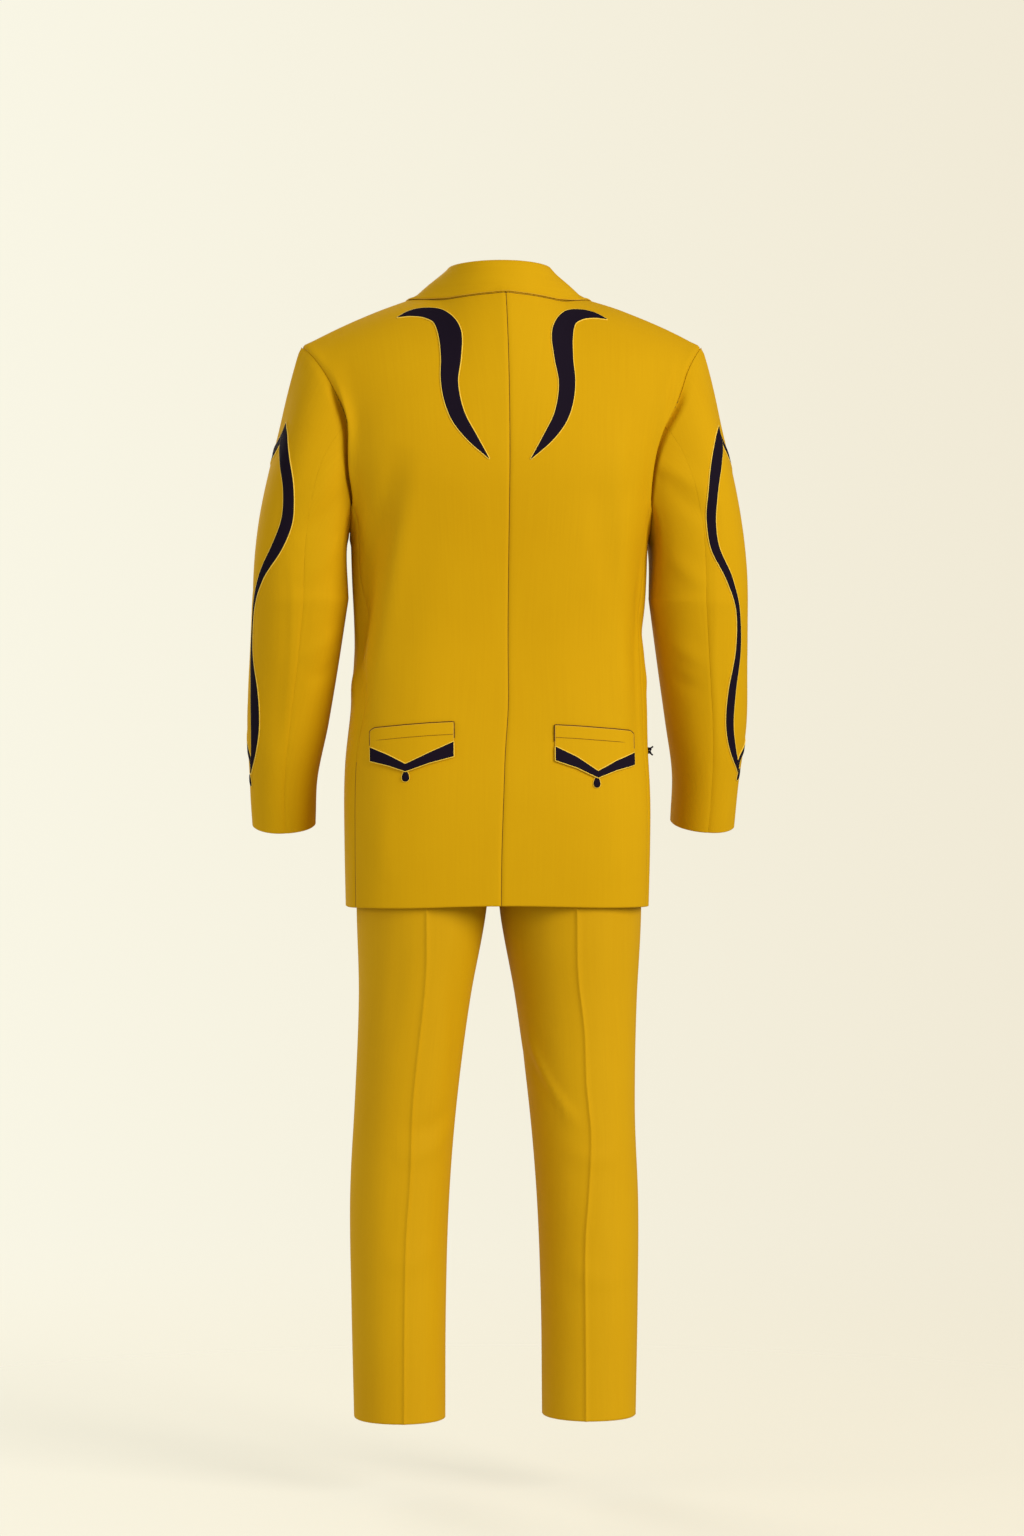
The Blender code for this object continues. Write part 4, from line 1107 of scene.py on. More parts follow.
def fold_rises(panel, folds):
    """How far a panel's points move outwards for all the folds."""
    rises = np.zeros(panel.size)
    points = panel.points.reshape(-1, 3)
    flat = rises.reshape(-1)
    for line, out, near, far, rise, sharp in folds:
        reach = 3 * max(near, far)
        inside = np.all((points > line.min(axis=0) - reach)
                        & (points < line.max(axis=0) + reach), axis=1)
        picked = np.nonzero(inside)[0]
        if len(picked) == 0:
            continue
        tangents = unit(np.gradient(line, axis=0))
        away = ((points[picked, None] - line[None]) ** 2).sum(axis=-1)
        nearest = away.argmin(axis=1)
        gap = points[picked] - line[nearest]
        tangent = tangents[nearest]
        ahead = (gap * tangent).sum(axis=1)
        step = np.linalg.norm(line[1] - line[0])
        along = (nearest * step + ahead) / (step * (len(line) - 1))
        across = np.cross(tangent, np.broadcast_to(out, tangent.shape))
        side = (gap * across).sum(axis=1)
        off = np.sqrt(np.maximum((gap**2).sum(axis=1) - ahead**2, 0))
        breadth = np.where(side > 0, near, far)
        taper = np.sin(np.pi * np.clip(along, 0, 1)) ** sharp
        flat[picked] += rise * taper * np.exp(-((off / breadth) ** 2))
    return flat.reshape(panel.size)


GROUPS = ("body", "sleeve_left", "sleeve_right")
body_bare = surface_tree([panel for panel in jacket if panel.group == "body"])
trouser_bare = surface_tree(trousers)
print("bare forms ready")

# %% [markdown]
# The jacket hangs from the shoulder blades. Behind each arm a soft ridge falls from the
# shoulder, with a trough beside it that runs out and down to the side, and below the blades
# the back falls in broad, shallow waves. The two sides are alike but not the same.

# %% The jacket's folds
# Lines and half breadths are in millimetres, rises in tenths of a millimetre.
BODY_FOLDS = {
    # seen from: line of (x, height), half breadths on its two sides, rise, sharpness
    "back": (
        (((222, 1466), (214, 1432), (203, 1396), (195, 1350), (192, 1300)), 6, 12, 34, 0.9),
        (((112, 1350), (132, 1240), (147, 1150), (164, 1050)), 18, 18, 36, 1.0),
        (((140, 1345), (162, 1245), (178, 1160), (184, 1070), (184, 980)), 14, 22, -60, 0.8),
        (((186, 1130), (184, 1030), (182, 930)), 14, 20, -30, 1.0),
        (((85, 1220), (100, 1100), (108, 980), (110, 860)), 30, 34, 20, 1.2),
        (((-222, 1466), (-211.5, 1430), (-201.5, 1390), (-189, 1349)), 11, 5, 34, 0.9),
        (((-172, 1400), (-160, 1330), (-152, 1260)), 12, 16, -18, 1.0),
        (((-140, 1390), (-146, 1260), (-150, 1120), (-148, 980)), 22, 24, 34, 1.0),
        (((-112, 1320), (-128, 1220), (-152, 1130), (-166, 1060)), 20, 24, -34, 1.0),
        (((-182, 1250), (-175, 1150), (-171, 1050), (-173, 930)), 18, 7, -25, 0.7),
        (((-60, 1180), (-70, 1060), (-82, 930)), 30, 30, 16, 1.2),
        (((8, 1300), (4, 1180), (6, 1040)), 16, 16, -10, 1.0),
        (((150, 905), (158, 850), (160, 790)), 20, 16, 14, 1.0),
        (((-128, 900), (-136, 840), (-140, 780)), 20, 20, 14, 1.0),
    ),
    "left": (
        (((60, 1180), (30, 1120), (-10, 1075)), 14, 18, -30, 1.0),
        (((50, 1090), (10, 1050), (-40, 1030)), 12, 16, 22, 1.0),
    ),
    "right": (
        (((60, 1170), (20, 1120), (-30, 1080)), 14, 18, -28, 1.0),
        (((40, 1080), (0, 1045), (-50, 1030)), 12, 16, 20, 1.0),
    ),
    "front": (
        (((60, 1170), (100, 1120), (150, 1085)), 12, 16, 24, 1.0),
        (((40, 1130), (90, 1070), (140, 1025)), 14, 12, -22, 1.0),
        (((-50, 1160), (-90, 1115), (-140, 1080)), 12, 16, 22, 1.0),
        (((-40, 1120), (-85, 1060), (-135, 1015)), 14, 12, -20, 1.0),
        (((110, 1000), (118, 900), (122, 800)), 22, 26, 24, 1.0),
        (((-116, 1000), (-120, 900), (-118, 800)), 26, 22, 22, 1.0),
        (((180, 1420), (172, 1350), (165, 1270)), 16, 14, -24, 1.0),
        (((-182, 1420), (-172, 1350), (-163, 1270)), 16, 14, -24, 1.0),
    ),
}

# A sleeve is drawn by degrees round from its outer line towards the back.
SLEEVE_FOLDS = {
    # line of (degrees, height), and the rest as above
    "left": (
        (((120, 1330), (96, 1290), (70, 1255)), 12, 16, 30, 1.0),
        (((128, 1290), (104, 1255), (78, 1225)), 10, 12, -22, 1.0),
        (((140, 1240), (112, 1200), (84, 1170)), 12, 14, 24, 1.0),
        (((74, 1210), (80, 1130), (84, 1060), (86, 960)), 6, 10, 18, 0.6),
        (((150, 1120), (118, 1095), (90, 1075)), 10, 14, 20, 1.0),
        (((160, 1080), (128, 1060), (98, 1048)), 12, 10, -20, 1.0),
        (((60, 1080), (66, 1020), (62, 960)), 18, 18, -14, 1.0),
        (((200, 1150), (230, 1120), (262, 1105)), 10, 14, 24, 1.0),
        (((196, 1110), (228, 1080), (258, 1062)), 12, 10, -22, 1.0),
        (((205, 1060), (236, 1040), (262, 1034)), 10, 12, 20, 1.0),
        (((262, 1300), (284, 1250), (296, 1190)), 14, 16, 20, 1.0),
        (((30, 1420), (40, 1370), (46, 1310)), 20, 20, 16, 1.0),
    ),
    "right": (
        (((132, 1345), (104, 1315), (74, 1290)), 11, 15, 28, 1.0),
        (((120, 1300), (92, 1268), (66, 1245)), 12, 12, -20, 1.0),
        (((138, 1220), (110, 1190), (80, 1165)), 13, 14, 22, 1.0),
        (((78, 1220), (82, 1130), (86, 1050), (84, 940)), 10, 6, 18, 0.6),
        (((148, 1110), (116, 1085), (88, 1070)), 10, 14, 18, 1.0),
        (((158, 1070), (124, 1048), (96, 1038)), 12, 10, -18, 1.0),
        (((62, 1060), (68, 1000), (64, 950)), 18, 18, -12, 1.0),
        (((204, 1140), (232, 1115), (264, 1098)), 10, 14, 22, 1.0),
        (((198, 1100), (230, 1072), (260, 1056)), 12, 10, -20, 1.0),
        (((264, 1310), (286, 1255), (298, 1195)), 14, 16, 20, 1.0),
        (((34, 1415), (44, 1360), (48, 1300)), 20, 20, 16, 1.0),
    ),
}


def sleeve_at(degrees, height, side):
    """The hung sleeve's surface and its outward way at an angle and a height."""
    around = degrees / 360
    down = halved(0.0, 1.0, lambda t: sleeve_point(around, t)[2] > height, 30)
    spots = ((around, down), (around + 0.01, down), (around, min(down + 0.01, 1)),
             (around, down - 0.01))
    point, beside, lower, upper = hung([sleeve_point(*spot) for spot in spots], side, 1)
    return point * mirror(side), unit(np.cross(lower - upper, beside - point)) * mirror(side)


FOLD_STEP = 0.006        # between the points of a fold's line, and on a sleeve in hundreds
TURN_STEP = 0.06         # of degrees


def fold(line, out, near, far, rise, sharp):
    return line, out, near / 1000, far / 1000, rise / 10000, sharp


def drawn_from(face, marks, tree):
    """A line of a fold, dropped on a surface from one side."""
    out = np.array(OUT_OF[face], float)
    line = []
    for across, height in smooth_line(np.array(marks) / 1000, FOLD_STEP):
        place = (across, out[1] * OUTSIDE, height) if out[1] \
            else (out[0] * BESIDE, across, height)
        line.append(on_surface(tree, place, out))
    return np.array(line)


def drawn_folds(table, tree):
    return [fold(drawn_from(face, marks, tree), np.array(OUT_OF[face]), *sizes)
            for face, rows in table.items() for marks, *sizes in rows]


def drawn_round(marks, side):
    """A line of a fold on the sleeve, and the way that it looks."""
    fine = [sleeve_at(*(mark * (100, 1)), side)
            for mark in smooth_line(np.array(marks) / (100, 1000), TURN_STEP)]
    places = np.array([p for p, _ in fine])
    return smooth_line(places, FOLD_STEP), unit(np.mean([o for _, o in fine], axis=0))


body_folds = drawn_folds(BODY_FOLDS, body_bare)
sleeve_folds = {label: [fold(*drawn_round(marks, side), *sizes)
                        for marks, *sizes in SLEEVE_FOLDS[label]] for label, side in SIDES}
print(len(body_folds), "folds on the body,", len(sleeve_folds["left"]), "on the left sleeve")

# %% [markdown]
# The trousers carry a pressed crease down the middle of each leg. On the right leg a drag line
# runs from the fork out to the crease, and behind the knees the cloth breaks a little.

# %% The trousers' folds
TROUSER_FOLDS = {
    "back": (
        (((-34, 606), (-44, 570), (-66, 520), (-100, 476)), 15, 6, 46, 0.9),
        (((-30, 580), (-50, 534), (-76, 488)), 10, 14, -36, 1.0),
        (((70, 700), (62, 600), (70, 500)), 14, 14, -20, 1.0),
        (((60, 505), (96, 478), (140, 470)), 12, 10, -22, 1.0),
        (((66, 470), (102, 446), (146, 440)), 10, 12, 22, 1.0),
        (((-74, 450), (-110, 436), (-154, 440)), 12, 12, 18, 1.0),
        (((-150, 760), (-148, 640), (-150, 520)), 14, 18, -18, 1.0),
        (((134, 760), (140, 660), (146, 560)), 16, 16, -18, 1.0),
        (((82, 330), (120, 305), (160, 310)), 14, 14, 16, 1.0),
        (((-80, 300), (-120, 280), (-158, 290)), 14, 14, 16, 1.0),
    ),
    "front": (
        (((40, 700), (70, 640), (96, 590)), 12, 14, 20, 1.0),
        (((-36, 720), (-66, 660), (-96, 610)), 12, 14, 22, 1.0),
        (((70, 540), (110, 520), (156, 524)), 12, 12, -18, 1.0),
        (((-70, 530), (-110, 512), (-154, 520)), 12, 12, -18, 1.0),
        (((10, 960), (50, 930), (90, 920)), 10, 12, 16, 1.0),
        (((-10, 960), (-50, 935), (-90, 925)), 10, 12, 16, 1.0),
    ),
}
trouser_folds = drawn_folds(TROUSER_FOLDS, trouser_bare)
print(len(trouser_folds), "folds on the trousers")

# %% [markdown]
# Now every point of the cloth moves outwards or inwards: by the folds, by the groove of a seam
# at its edges, by the pressed crease on a trouser leg, and at the armhole by a deep groove,
# because the sleeve hangs from it and the body stands up beside it.

# %% Moving the cloth along its folds
ARMHOLE_CALM = 0.009         # folds die away this near the armhole
ARMHOLE_GROOVE = 0.0026      # half breadth of the groove in the armhole's seam
ARMHOLE_DIP = 0.0085         # how deep it is
ARMHOLE_UP = (1.20, 0.08)    # where the groove grows deep,
ARMHOLE_END = (1.395, 0.04)  # and where it grows shallow again
BESIDE_ARMHOLE = {
    # on the body or not: rise beside the groove, how far from it, half breadth
    True: (0.0054, 0.0055, 0.0070),
    False: (-0.0085, 0.0016, 0.0036),
}
CREASE_SOFT = (0.0130, 0.32)     # half breadth of the pressed crease, its share of the rise
CREASE_SHARP = (0.0018, 0.0024, 1.3)     # half breadth, rise and power of its edge
CREASE_UP = (0.84, 0.16)     # where the crease fades out
SLEEVE_DIP = 0.0007          # how deep a sleeve seam lies
SLEEVE_DIP_UP = (1.18, 0.10)     # where it grows shallow


def armhole_away(panel):
    """How far each point is from the armhole seam."""
    marks = hung([armhole_point(t) for t in even(0, 1, 240)[:-1]], panel.side, 0)
    points = panel.points.reshape(-1, 3) * mirror(panel.side)
    away = np.full(len(points), 9.0)
    for mark in marks:
        away = np.minimum(away, np.linalg.norm(points - mark, axis=1))
    return away.reshape(panel.size)


def armhole_rises(panel, away):
    """The sleeve sinks where it hangs from the armhole, and the body stands up beside it."""
    height = panel.points[:, :, 2]
    high = (1 - 0.85 * climb(height, *ARMHOLE_END)) * climb(height, *ARMHOLE_UP)
    seam = np.exp(-((away / ARMHOLE_GROOVE) ** 2))
    size, place, breadth = BESIDE_ARMHOLE[panel.group == "body"]
    beside = size * np.exp(-(((away - place) / breadth) ** 2))
    return (beside * (1 - seam) - ARMHOLE_DIP * seam) * high


def crease_rises(panel):
    """The pressed crease of a leg, from the column that follows it."""
    middle = panel.size[1] // 2
    away = np.abs(panel.edge["left"] - panel.edge["left"][:, middle:middle + 1])
    heights = panel.points[:, middle, 2]
    sizes = np.array([through(LEG, h)[4] for h in heights]) * CREASE_SOFT[1]
    upper = 1 - climb(heights, *CREASE_UP)
    soft = sizes[:, None] * np.exp(-((away / CREASE_SOFT[0]) ** 2))
    breadth, rise, power = CREASE_SHARP
    sharp = rise * np.exp(-np.abs(away / breadth) ** power)
    return (soft + sharp) * upper[:, None]


def move_cloth(panel, folds):
    rises = fold_rises(panel, folds)
    dip = SEAM_DIP
    if panel.group != "legs":
        away = armhole_away(panel)
        rises *= smooth_step(away / ARMHOLE_CALM)
        rises += armhole_rises(panel, away)
    else:
        rises += crease_rises(panel)
    if panel.group[:6] == "sleeve":
        dip = SLEEVE_DIP * (1 - 0.8 * climb(panel.points[:, :, 2], *SLEEVE_DIP_UP))
    for name in panel.seams:
        rises -= dip * np.exp(-((panel.edge[name] / SEAM_BREADTH) ** 2))
    panel.points = panel.points + unit(panel.leans) * rises[:, :, None] + panel.moved


for panel in jacket:
    move_cloth(panel, body_folds if panel.group == "body" else sleeve_folds[panel.group[7:]])
for panel in trousers:
    move_cloth(panel, trouser_folds)
print("cloth moved")

# %% [markdown]
# A panel becomes a thin closed wall: its outer face, its inner face and the rims between them.
# Free edges, such as a hem or a cuff, get one more row round the rim, so that the folded edge
# is round. Each wall has its own UV map in metres along the cloth, which the weave follows.

# %% From panels to closed walls
EDGE_ROUND = 0.42            # how far a free edge bulges, as a share of the thickness


def wall(points, leans, thickness, free=tuple(INWARD)):
    """Points, faces and UVs of a closed wall round a grid of middle points."""
    rows, columns = points.shape[:2]
    count = rows * columns
    rim = rim_of(rows, columns)
    outer = points + leans * thickness / 2
    inner = points - leans * thickness / 2
    down = np.concatenate([[0], np.cumsum(steps_of(points[:, columns // 2]))])
    across = np.zeros((rows, columns))
    across[:, 1:] = np.cumsum(steps_of(points, 1), axis=1)
    across -= across[:, columns // 2:columns // 2 + 1]
    flat = np.stack([across, np.broadcast_to(down[:, None], across.shape)], axis=-1)
    middles = []
    for r, c in rim:
        way = outward(points, r, c, free)
        middles.append(points[r, c] + unit(way) * thickness * EDGE_ROUND * (way.any()))
    spots = np.concatenate([outer.reshape(-1, 3), inner.reshape(-1, 3), np.array(middles)])
    uvs = np.concatenate([flat.reshape(-1, 2), flat.reshape(-1, 2),
                          np.array([flat[r, c] for r, c in rim])])
    faces = []
    for quad in quads(rows, columns):
        faces += [quad, tuple(count + k for k in reversed(quad))]
    spot = [r * columns + c for r, c in rim]
    for k in range(len(rim)):
        n = (k + 1) % len(rim)
        faces.append((spot[n], spot[k], 2 * count + k, 2 * count + n))
        faces.append((2 * count + n, 2 * count + k, count + spot[k], count + spot[n]))
    return spots, faces, uvs


def closed_piece(name, spots, faces, uvs=None, sharp=None):
    """A mesh object in the row frame, turned outwards, from points above the floor."""
    mesh = bpy.data.meshes.new(name)
    mesh.from_pydata([(p[0], p[1], p[2] - HELD_AT) for p in spots], [], faces)
    if uvs is not None:
        layer = mesh.uv_layers.new(name="cloth")
        corners = np.zeros(len(mesh.loops), dtype=np.int32)
        mesh.loops.foreach_get("vertex_index", corners)
        layer.data.foreach_set("uv", np.asarray(uvs, dtype=np.float32)[corners].ravel())
    with edited(mesh) as work:
        if work.calc_volume(signed=True) < 0:
            bmesh.ops.reverse_faces(work, faces=work.faces[:])
    mesh.shade_smooth()
    if sharp:
        mesh.set_sharp_from_angle(angle=math.radians(sharp))
    return placed(name, mesh)


def finished(piece, finish, slot, *nodes):
    """Every piece rides with the suit, has a finish, and stands for its solid."""
    piece.data.materials.clear()
    piece.data.materials.append(finish)
    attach(piece, "root")
    if nodes:
        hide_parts(*nodes)
    return piece


def panel_area(points):
    """The area of a grid of points."""
    diagonals = np.cross(points[1:, 1:] - points[:-1, :-1], points[1:, :-1] - points[:-1, 1:])
    return float(np.linalg.norm(diagonals, axis=-1).sum() / 2)


def cut_size(points):
    """The breadth and length of the rectangle of cloth that a piece is cut from."""
    return float(steps_of(points, 1).sum(axis=1).max()), float(steps_of(points).sum(axis=0).max())


cloth_pieces = {}
for panel in jacket + trousers:
    free = [name for name in INWARD if name not in panel.seams]
    piece = closed_piece(panel.name, *wall(panel.points, panel.leans, panel.thickness, free))
    cloth_pieces[panel.name] = piece
print(len(cloth_pieces), "pieces of cloth,",
      sum(len(p.data.polygons) for p in cloth_pieces.values()), "faces")

# %% [markdown]
# The suit is a smooth mustard twill: a worsted whose fine diagonal ribs are about a millimetre
# apart. From a few metres only its even, matt colour shows, and close by the ribs catch the
# light. The weave follows each piece's own grain, so it is drawn on the piece's UV map, in
# metres, and a trouser leg gets the same cloth. Real dye is never even: broad, faint clouds
# and faint streaks along the warp vary the colour by a few parts in a hundred.

# %% The twill
RIB_PITCH = 0.00115
YARN_PITCH = 0.00060
PLY_PITCH = 0.0011
WOBBLE = 0.00045             # how far the yarns wander
CLOUDS, FUZZ, WANDER = 5.0, 1400.0, 60.0     # how many of each a metre
STREAKS = (420.0, 9.0, 0.0)
MUSTARD = colour(207, 161, 4)
MUSTARD_DEEP = colour(190, 140, 0)


def turns(pitch):
    return 2 * math.pi / pitch


def woven(name, light, deep, roughness, relief, sheen, specular):
    """A twill from two colours, drawn on the piece's own UV map."""
    made, tree = new_material(name)
    place = tree.node("ShaderNodeUVMap", uv_map="cloth")[0]
    across, along, _ = tree.axes(place)
    body = tree.place()
    wobble = tree.noise(body, WANDER, 1.0) * WOBBLE
    rib = ((across * 0.80 + along * 0.60 + wobble) * turns(RIB_PITCH)).sin() * 0.5 + 0.5
    yarn = ((along + wobble) * turns(YARN_PITCH)).sin() * 0.5 + 0.5
    clouds = tree.noise(body, CLOUDS, 3.0, 0.55)
    streaks = tree.noise(tree.scaled(place, STREAKS), 1.0, 2.0)
    fuzz = tree.noise(body, FUZZ, 1.0)
    depth = ((clouds - 0.5) * 0.55 + (streaks - 0.5) * 0.30 + (rib - 0.5) * 0.10
             + (fuzz - 0.5) * 0.16 + 0.28).clamped()
    shade = tree.mix(depth, light, deep)
    height = rib * 0.60 + yarn * 0.25 + fuzz * 0.35 + streaks * 0.20
    tree.cover(Base_Color=shade, Roughness=clouds * 0.10 + (roughness - 0.05),
               Normal=tree.bump(relief, 0.00022, height), Specular_IOR_Level=specular,
               Sheen_Weight=sheen, Sheen_Roughness=0.45, Sheen_Tint=light)
    return made


mustard_twill = woven("mustard_twill", MUSTARD, MUSTARD_DEEP, 0.80, 0.35, 0.10, 0.10)
pressed_twill = woven("pressed_mustard_twill", MUSTARD, MUSTARD_DEEP, 0.74, 0.30, 0.08, 0.12)
print(mustard_twill.name, pressed_twill.name)

# %% [markdown]
# The dark trim is a closely woven indigo cloth, almost black, with a slight lustre. A fine
# corded edge in light gold runs round every piece of it and hides its turned-in edge. The
# buttons are dark horn, which is polished, with faint lighter clouds in it.

# %% Trim, corded edge and horn
def corded(name, light, deep):
    """A twisted cord: slanted plies along its own length."""
    made, tree = new_material(name)
    body = tree.place()
    x, y, z = tree.axes(body)
    ply = ((z + x * 0.7 + y * 0.7) * turns(PLY_PITCH)).sin() * 0.5 + 0.5
    fuzz = tree.noise(body, 900.0, 1.0)
    shade = tree.mix((ply * 0.5 + fuzz * 0.4).clamped(), deep, light)
    tree.cover(Base_Color=shade, Roughness=fuzz * 0.1 + 0.5, Normal=tree.bump(0.4, 0.0002, ply),
               Specular_IOR_Level=0.25)
    return made


def horn(name):
    made, tree = new_material(name)
    body = tree.place()
    clouds = tree.noise(body, 160.0, 4.0, 0.6)
    grain = tree.noise(tree.scaled(body, (900.0, 900.0, 120.0)), 1.0, 2.0)
    shade = tree.mix((clouds * 0.7 + grain * 0.3).clamped(), colour(24, 17, 15),
                     colour(62, 44, 32))
    tree.cover(Base_Color=shade, Roughness=clouds * 0.15 + 0.22, Specular_IOR_Level=0.5)
    return made


night_trim = woven("indigo_trim", colour(27, 19, 34), colour(17, 12, 25), 0.80, 0.35, 0.0, 0.04)
gold_cord = corded("light_gold_cord", colour(252, 222, 96), colour(236, 192, 44))
# A lighter copy of the mustard for the cords on turned edges and the buttonholes' stitches: the
# cords are real, and their lighter colour is a painted highlight where the edges catch the light.
light_cord_painted_highlight = corded("mustard_cord", colour(228, 186, 50), colour(200, 150, 14))
stitch_thread = corded("stitching_thread", colour(140, 92, 2), colour(104, 64, 0))
dark_horn = horn("dark_horn")
# A dark brown copy of the mustard, laid as thin cords where grooves, gaps and crevices lie in
# shade: painted shade.
painted_shade_cord = corded("shaded_cord", colour(92, 48, 6), colour(64, 32, 4))
print("six finishes for the trim, its edges, the stitching and the buttons")

# %% Dressing the cut pieces
SHEETS = []


def declare(piece, points):
    """Note in a list what a sheet of cloth was cut to, from the middle of its wall."""
    breadth, length = cut_size(points)
    area = min(panel_area(points), breadth * length)
    SHEETS.append((piece.name, round(breadth, 3), round(length, 3), round(area, 4)))


for panel in jacket + trousers:
    legs = panel.group == "legs"
    finished(cloth_pieces[panel.name], pressed_twill if legs else mustard_twill,
             "trouser_cloth" if legs else "suit_cloth", panel.name)
    declare(cloth_pieces[panel.name], panel.points)
for row in SHEETS[:4]:
    print(*row)

# %% [markdown]
# Trim is laid on the finished cloth, folds and all. A search tree over the moved cloth tells
# where its outer face is; a strip is a grid of points dropped on that face, raised by its own
# thickness, and closed like every other piece of cloth.

# %% The outer faces of the finished cloth
cloth_face = {group: surface_tree([p for p in jacket if p.group == group], 1)
              for group in GROUPS}
leg_face = surface_tree(trousers, 1)
Y_OUT = np.array((0.0, 1.0, 0.0))
CLOSE = 0.00015      # how far trim lies above the cloth


def dropped(x, z, way, tree=cloth_face["body"]):
    """The point of the cloth at a place seen from behind (1) or from the front (-1)."""
    return on_surface(tree, (x, way * OUTSIDE, z), way * Y_OUT)


def laid_piece(name, points, outs, thickness, finish, slot, lift=CLOSE):
    """A piece laid on the cloth. Returns the middle of its wall and the way it looks."""
    outs = np.broadcast_to(outs, points.shape)
    normals = grid_normals(points, 1)
    facing = (normals * outs).sum(axis=-1, keepdims=True)
    normals = normals * np.where(facing < 0, -1, 1)
    normals = np.where(np.abs(facing) < 0.3, unit(outs + 0 * normals), normals)
    middle = points + normals * (lift + thickness / 2)
    piece = finished(closed_piece(name, *wall(middle, normals, thickness)), finish, slot, name)
    declare(piece, middle)
    return middle, normals


print("search trees over", len(cloth_face) + 1, "groups of cloth")

# %% [markdown]
# The corded edge repeats on every piece of trim, so one Geometry Nodes tree makes it: it sweeps
# a small circle along whatever outline it is given. A second tree sets stitches along a line.
# Their sizes and the finish are inputs, and the result is made a plain mesh before it joins
# the suit.

# %% Cords and stitches along a line
def group_tree(name, **inputs):
    """A new tree with its inputs: numbers, and the finish last."""
    tree = bpy.data.node_groups.new(name, "GeometryNodeTree")
    tree.interface.new_socket("Geometry", in_out="INPUT", socket_type="NodeSocketGeometry")
    for label, value in inputs.items():
        tree.interface.new_socket(label, in_out="INPUT",
                                  socket_type="NodeSocketFloat").default_value = value
    tree.interface.new_socket("Finish", in_out="INPUT", socket_type="NodeSocketMaterial")
    tree.interface.new_socket("Geometry", in_out="OUTPUT", socket_type="NodeSocketGeometry")
    nodes = Tree(tree)
    return tree, nodes, nodes.node("NodeGroupInput")


def end_tree(nodes, geometry, finish):
    real = nodes.node("GeometryNodeRealizeInstances", {"Geometry": geometry})[0]
    coloured = nodes.node("GeometryNodeSetMaterial", {
        "Geometry": real, "Material": finish})[0]
    nodes.node("NodeGroupOutput", {0: coloured})


def cord_tree():
    tree, nodes, given = group_tree("cord_along_an_outline", Radius=0.0005)
    ring = nodes.node("GeometryNodeCurvePrimitiveCircle", {"Resolution": 6, "Radius": given[1]},
                      mode="RADIUS")[0]
    swept = nodes.node("GeometryNodeCurveToMesh", {
        "Curve": given[0], "Profile Curve": ring, "Fill Caps": True})[0]
    smooth = nodes.node("GeometryNodeSetShadeSmooth", {"Geometry": swept})[0]
    end_tree(nodes, smooth, given[2])
    return tree


def stitch_tree():
    tree, nodes, given = group_tree("stitches_along_a_line", Pitch=0.0026, Radius=0.0002,
                                    Length=0.0018)
    spots = nodes.node("GeometryNodeCurveToPoints", {"Curve": given[0], "Length": given[1]},
                       mode="LENGTH")
    stitch = nodes.node("GeometryNodeMeshCylinder", {
        "Vertices": 6, "Radius": given[2], "Depth": given[3]})[0]
    laid = nodes.node("GeometryNodeInstanceOnPoints", {
        "Points": spots[0], "Instance": stitch, "Rotation": spots[3]})[0]
    end_tree(nodes, laid, given[4])
    return tree


CORD_TREE = cord_tree()
STITCH_TREE = stitch_tree()


def line_object(name, points, closed):
    """A straight-run curve through points above the floor."""
    data = bpy.data.curves.new(name, "CURVE")
    data.dimensions = "3D"
    spline = data.splines.new("POLY")
    spline.points.add(len(points) - 1)
    for place, point in zip(spline.points, points):
        place.co = (point[0], point[1], point[2] - HELD_AT, 1)
    spline.use_cyclic_u = closed
    return placed(name + "_line", data)


def made_plain(name, source, tree, values):
    """Run a Geometry Nodes tree on an object and keep its result as a plain mesh."""
    modifier = source.modifiers.new("nodes", "NODES")
    modifier.node_group = tree
    for item in tree.interface.items_tree:
        if item.item_type == "SOCKET" and item.in_out == "INPUT" and item.name in values:
            modifier[item.identifier] = values[item.name]
    depsgraph = bpy.context.evaluated_depsgraph_get()
    result = bpy.data.meshes.new_from_object(source.evaluated_get(depsgraph))
    bpy.data.objects.remove(source, do_unlink=True)
    result.name = name
    return placed(name, result)


def joined(name, pieces):
    """Several plain meshes as one piece."""
    mesh = bpy.data.meshes.new(name)
    with edited(mesh) as work:
        for piece in pieces:
            work.from_mesh(piece.data)
            bpy.data.objects.remove(piece, do_unlink=True)
    mesh.shade_smooth()
    return placed(name, mesh)


def cord(name, points, radius, finish, closed=True):
    return made_plain(name, line_object(name, points, closed), CORD_TREE,
                      {"Radius": radius, "Finish": finish})


def edging(name, points, radius, finish, closed=True, slot="suit_cloth"):
    """A cord sewn down along a line."""
    finished(cord(name, points, radius, finish, closed), finish, slot)


def stitching(name, points, finish, closed=False, slot="suit_cloth", **sizes):
    """A run of stitches along a line."""
    values = {"Pitch": 0.0026, "Radius": 0.00022, "Length": 0.0018, "Finish": finish, **sizes}
    line = line_object(name, points, closed)
    finished(made_plain(name, line, STITCH_TREE, values), finish, slot)


def outline(middle, normals, out, sink):
    """The rim of a laid grid, a little outside it and a little lower."""
    return [middle[r, c] + unit(outward(middle, r, c)) * out - normals[r, c] * sink
            for r, c in rim_of(*middle.shape[:2])]


CORD_RADIUS = 0.00080
print("trees with", len(CORD_TREE.nodes), "and", len(STITCH_TREE.nodes), "nodes")

# %% [markdown]
# Each shoulder blade carries a tapered scroll, a common ornament on western wear, drawn here
# from its own table: where its middle runs and how broad it is there. Both are followed by
# smooth curves, so the outline swells and thins without corners.

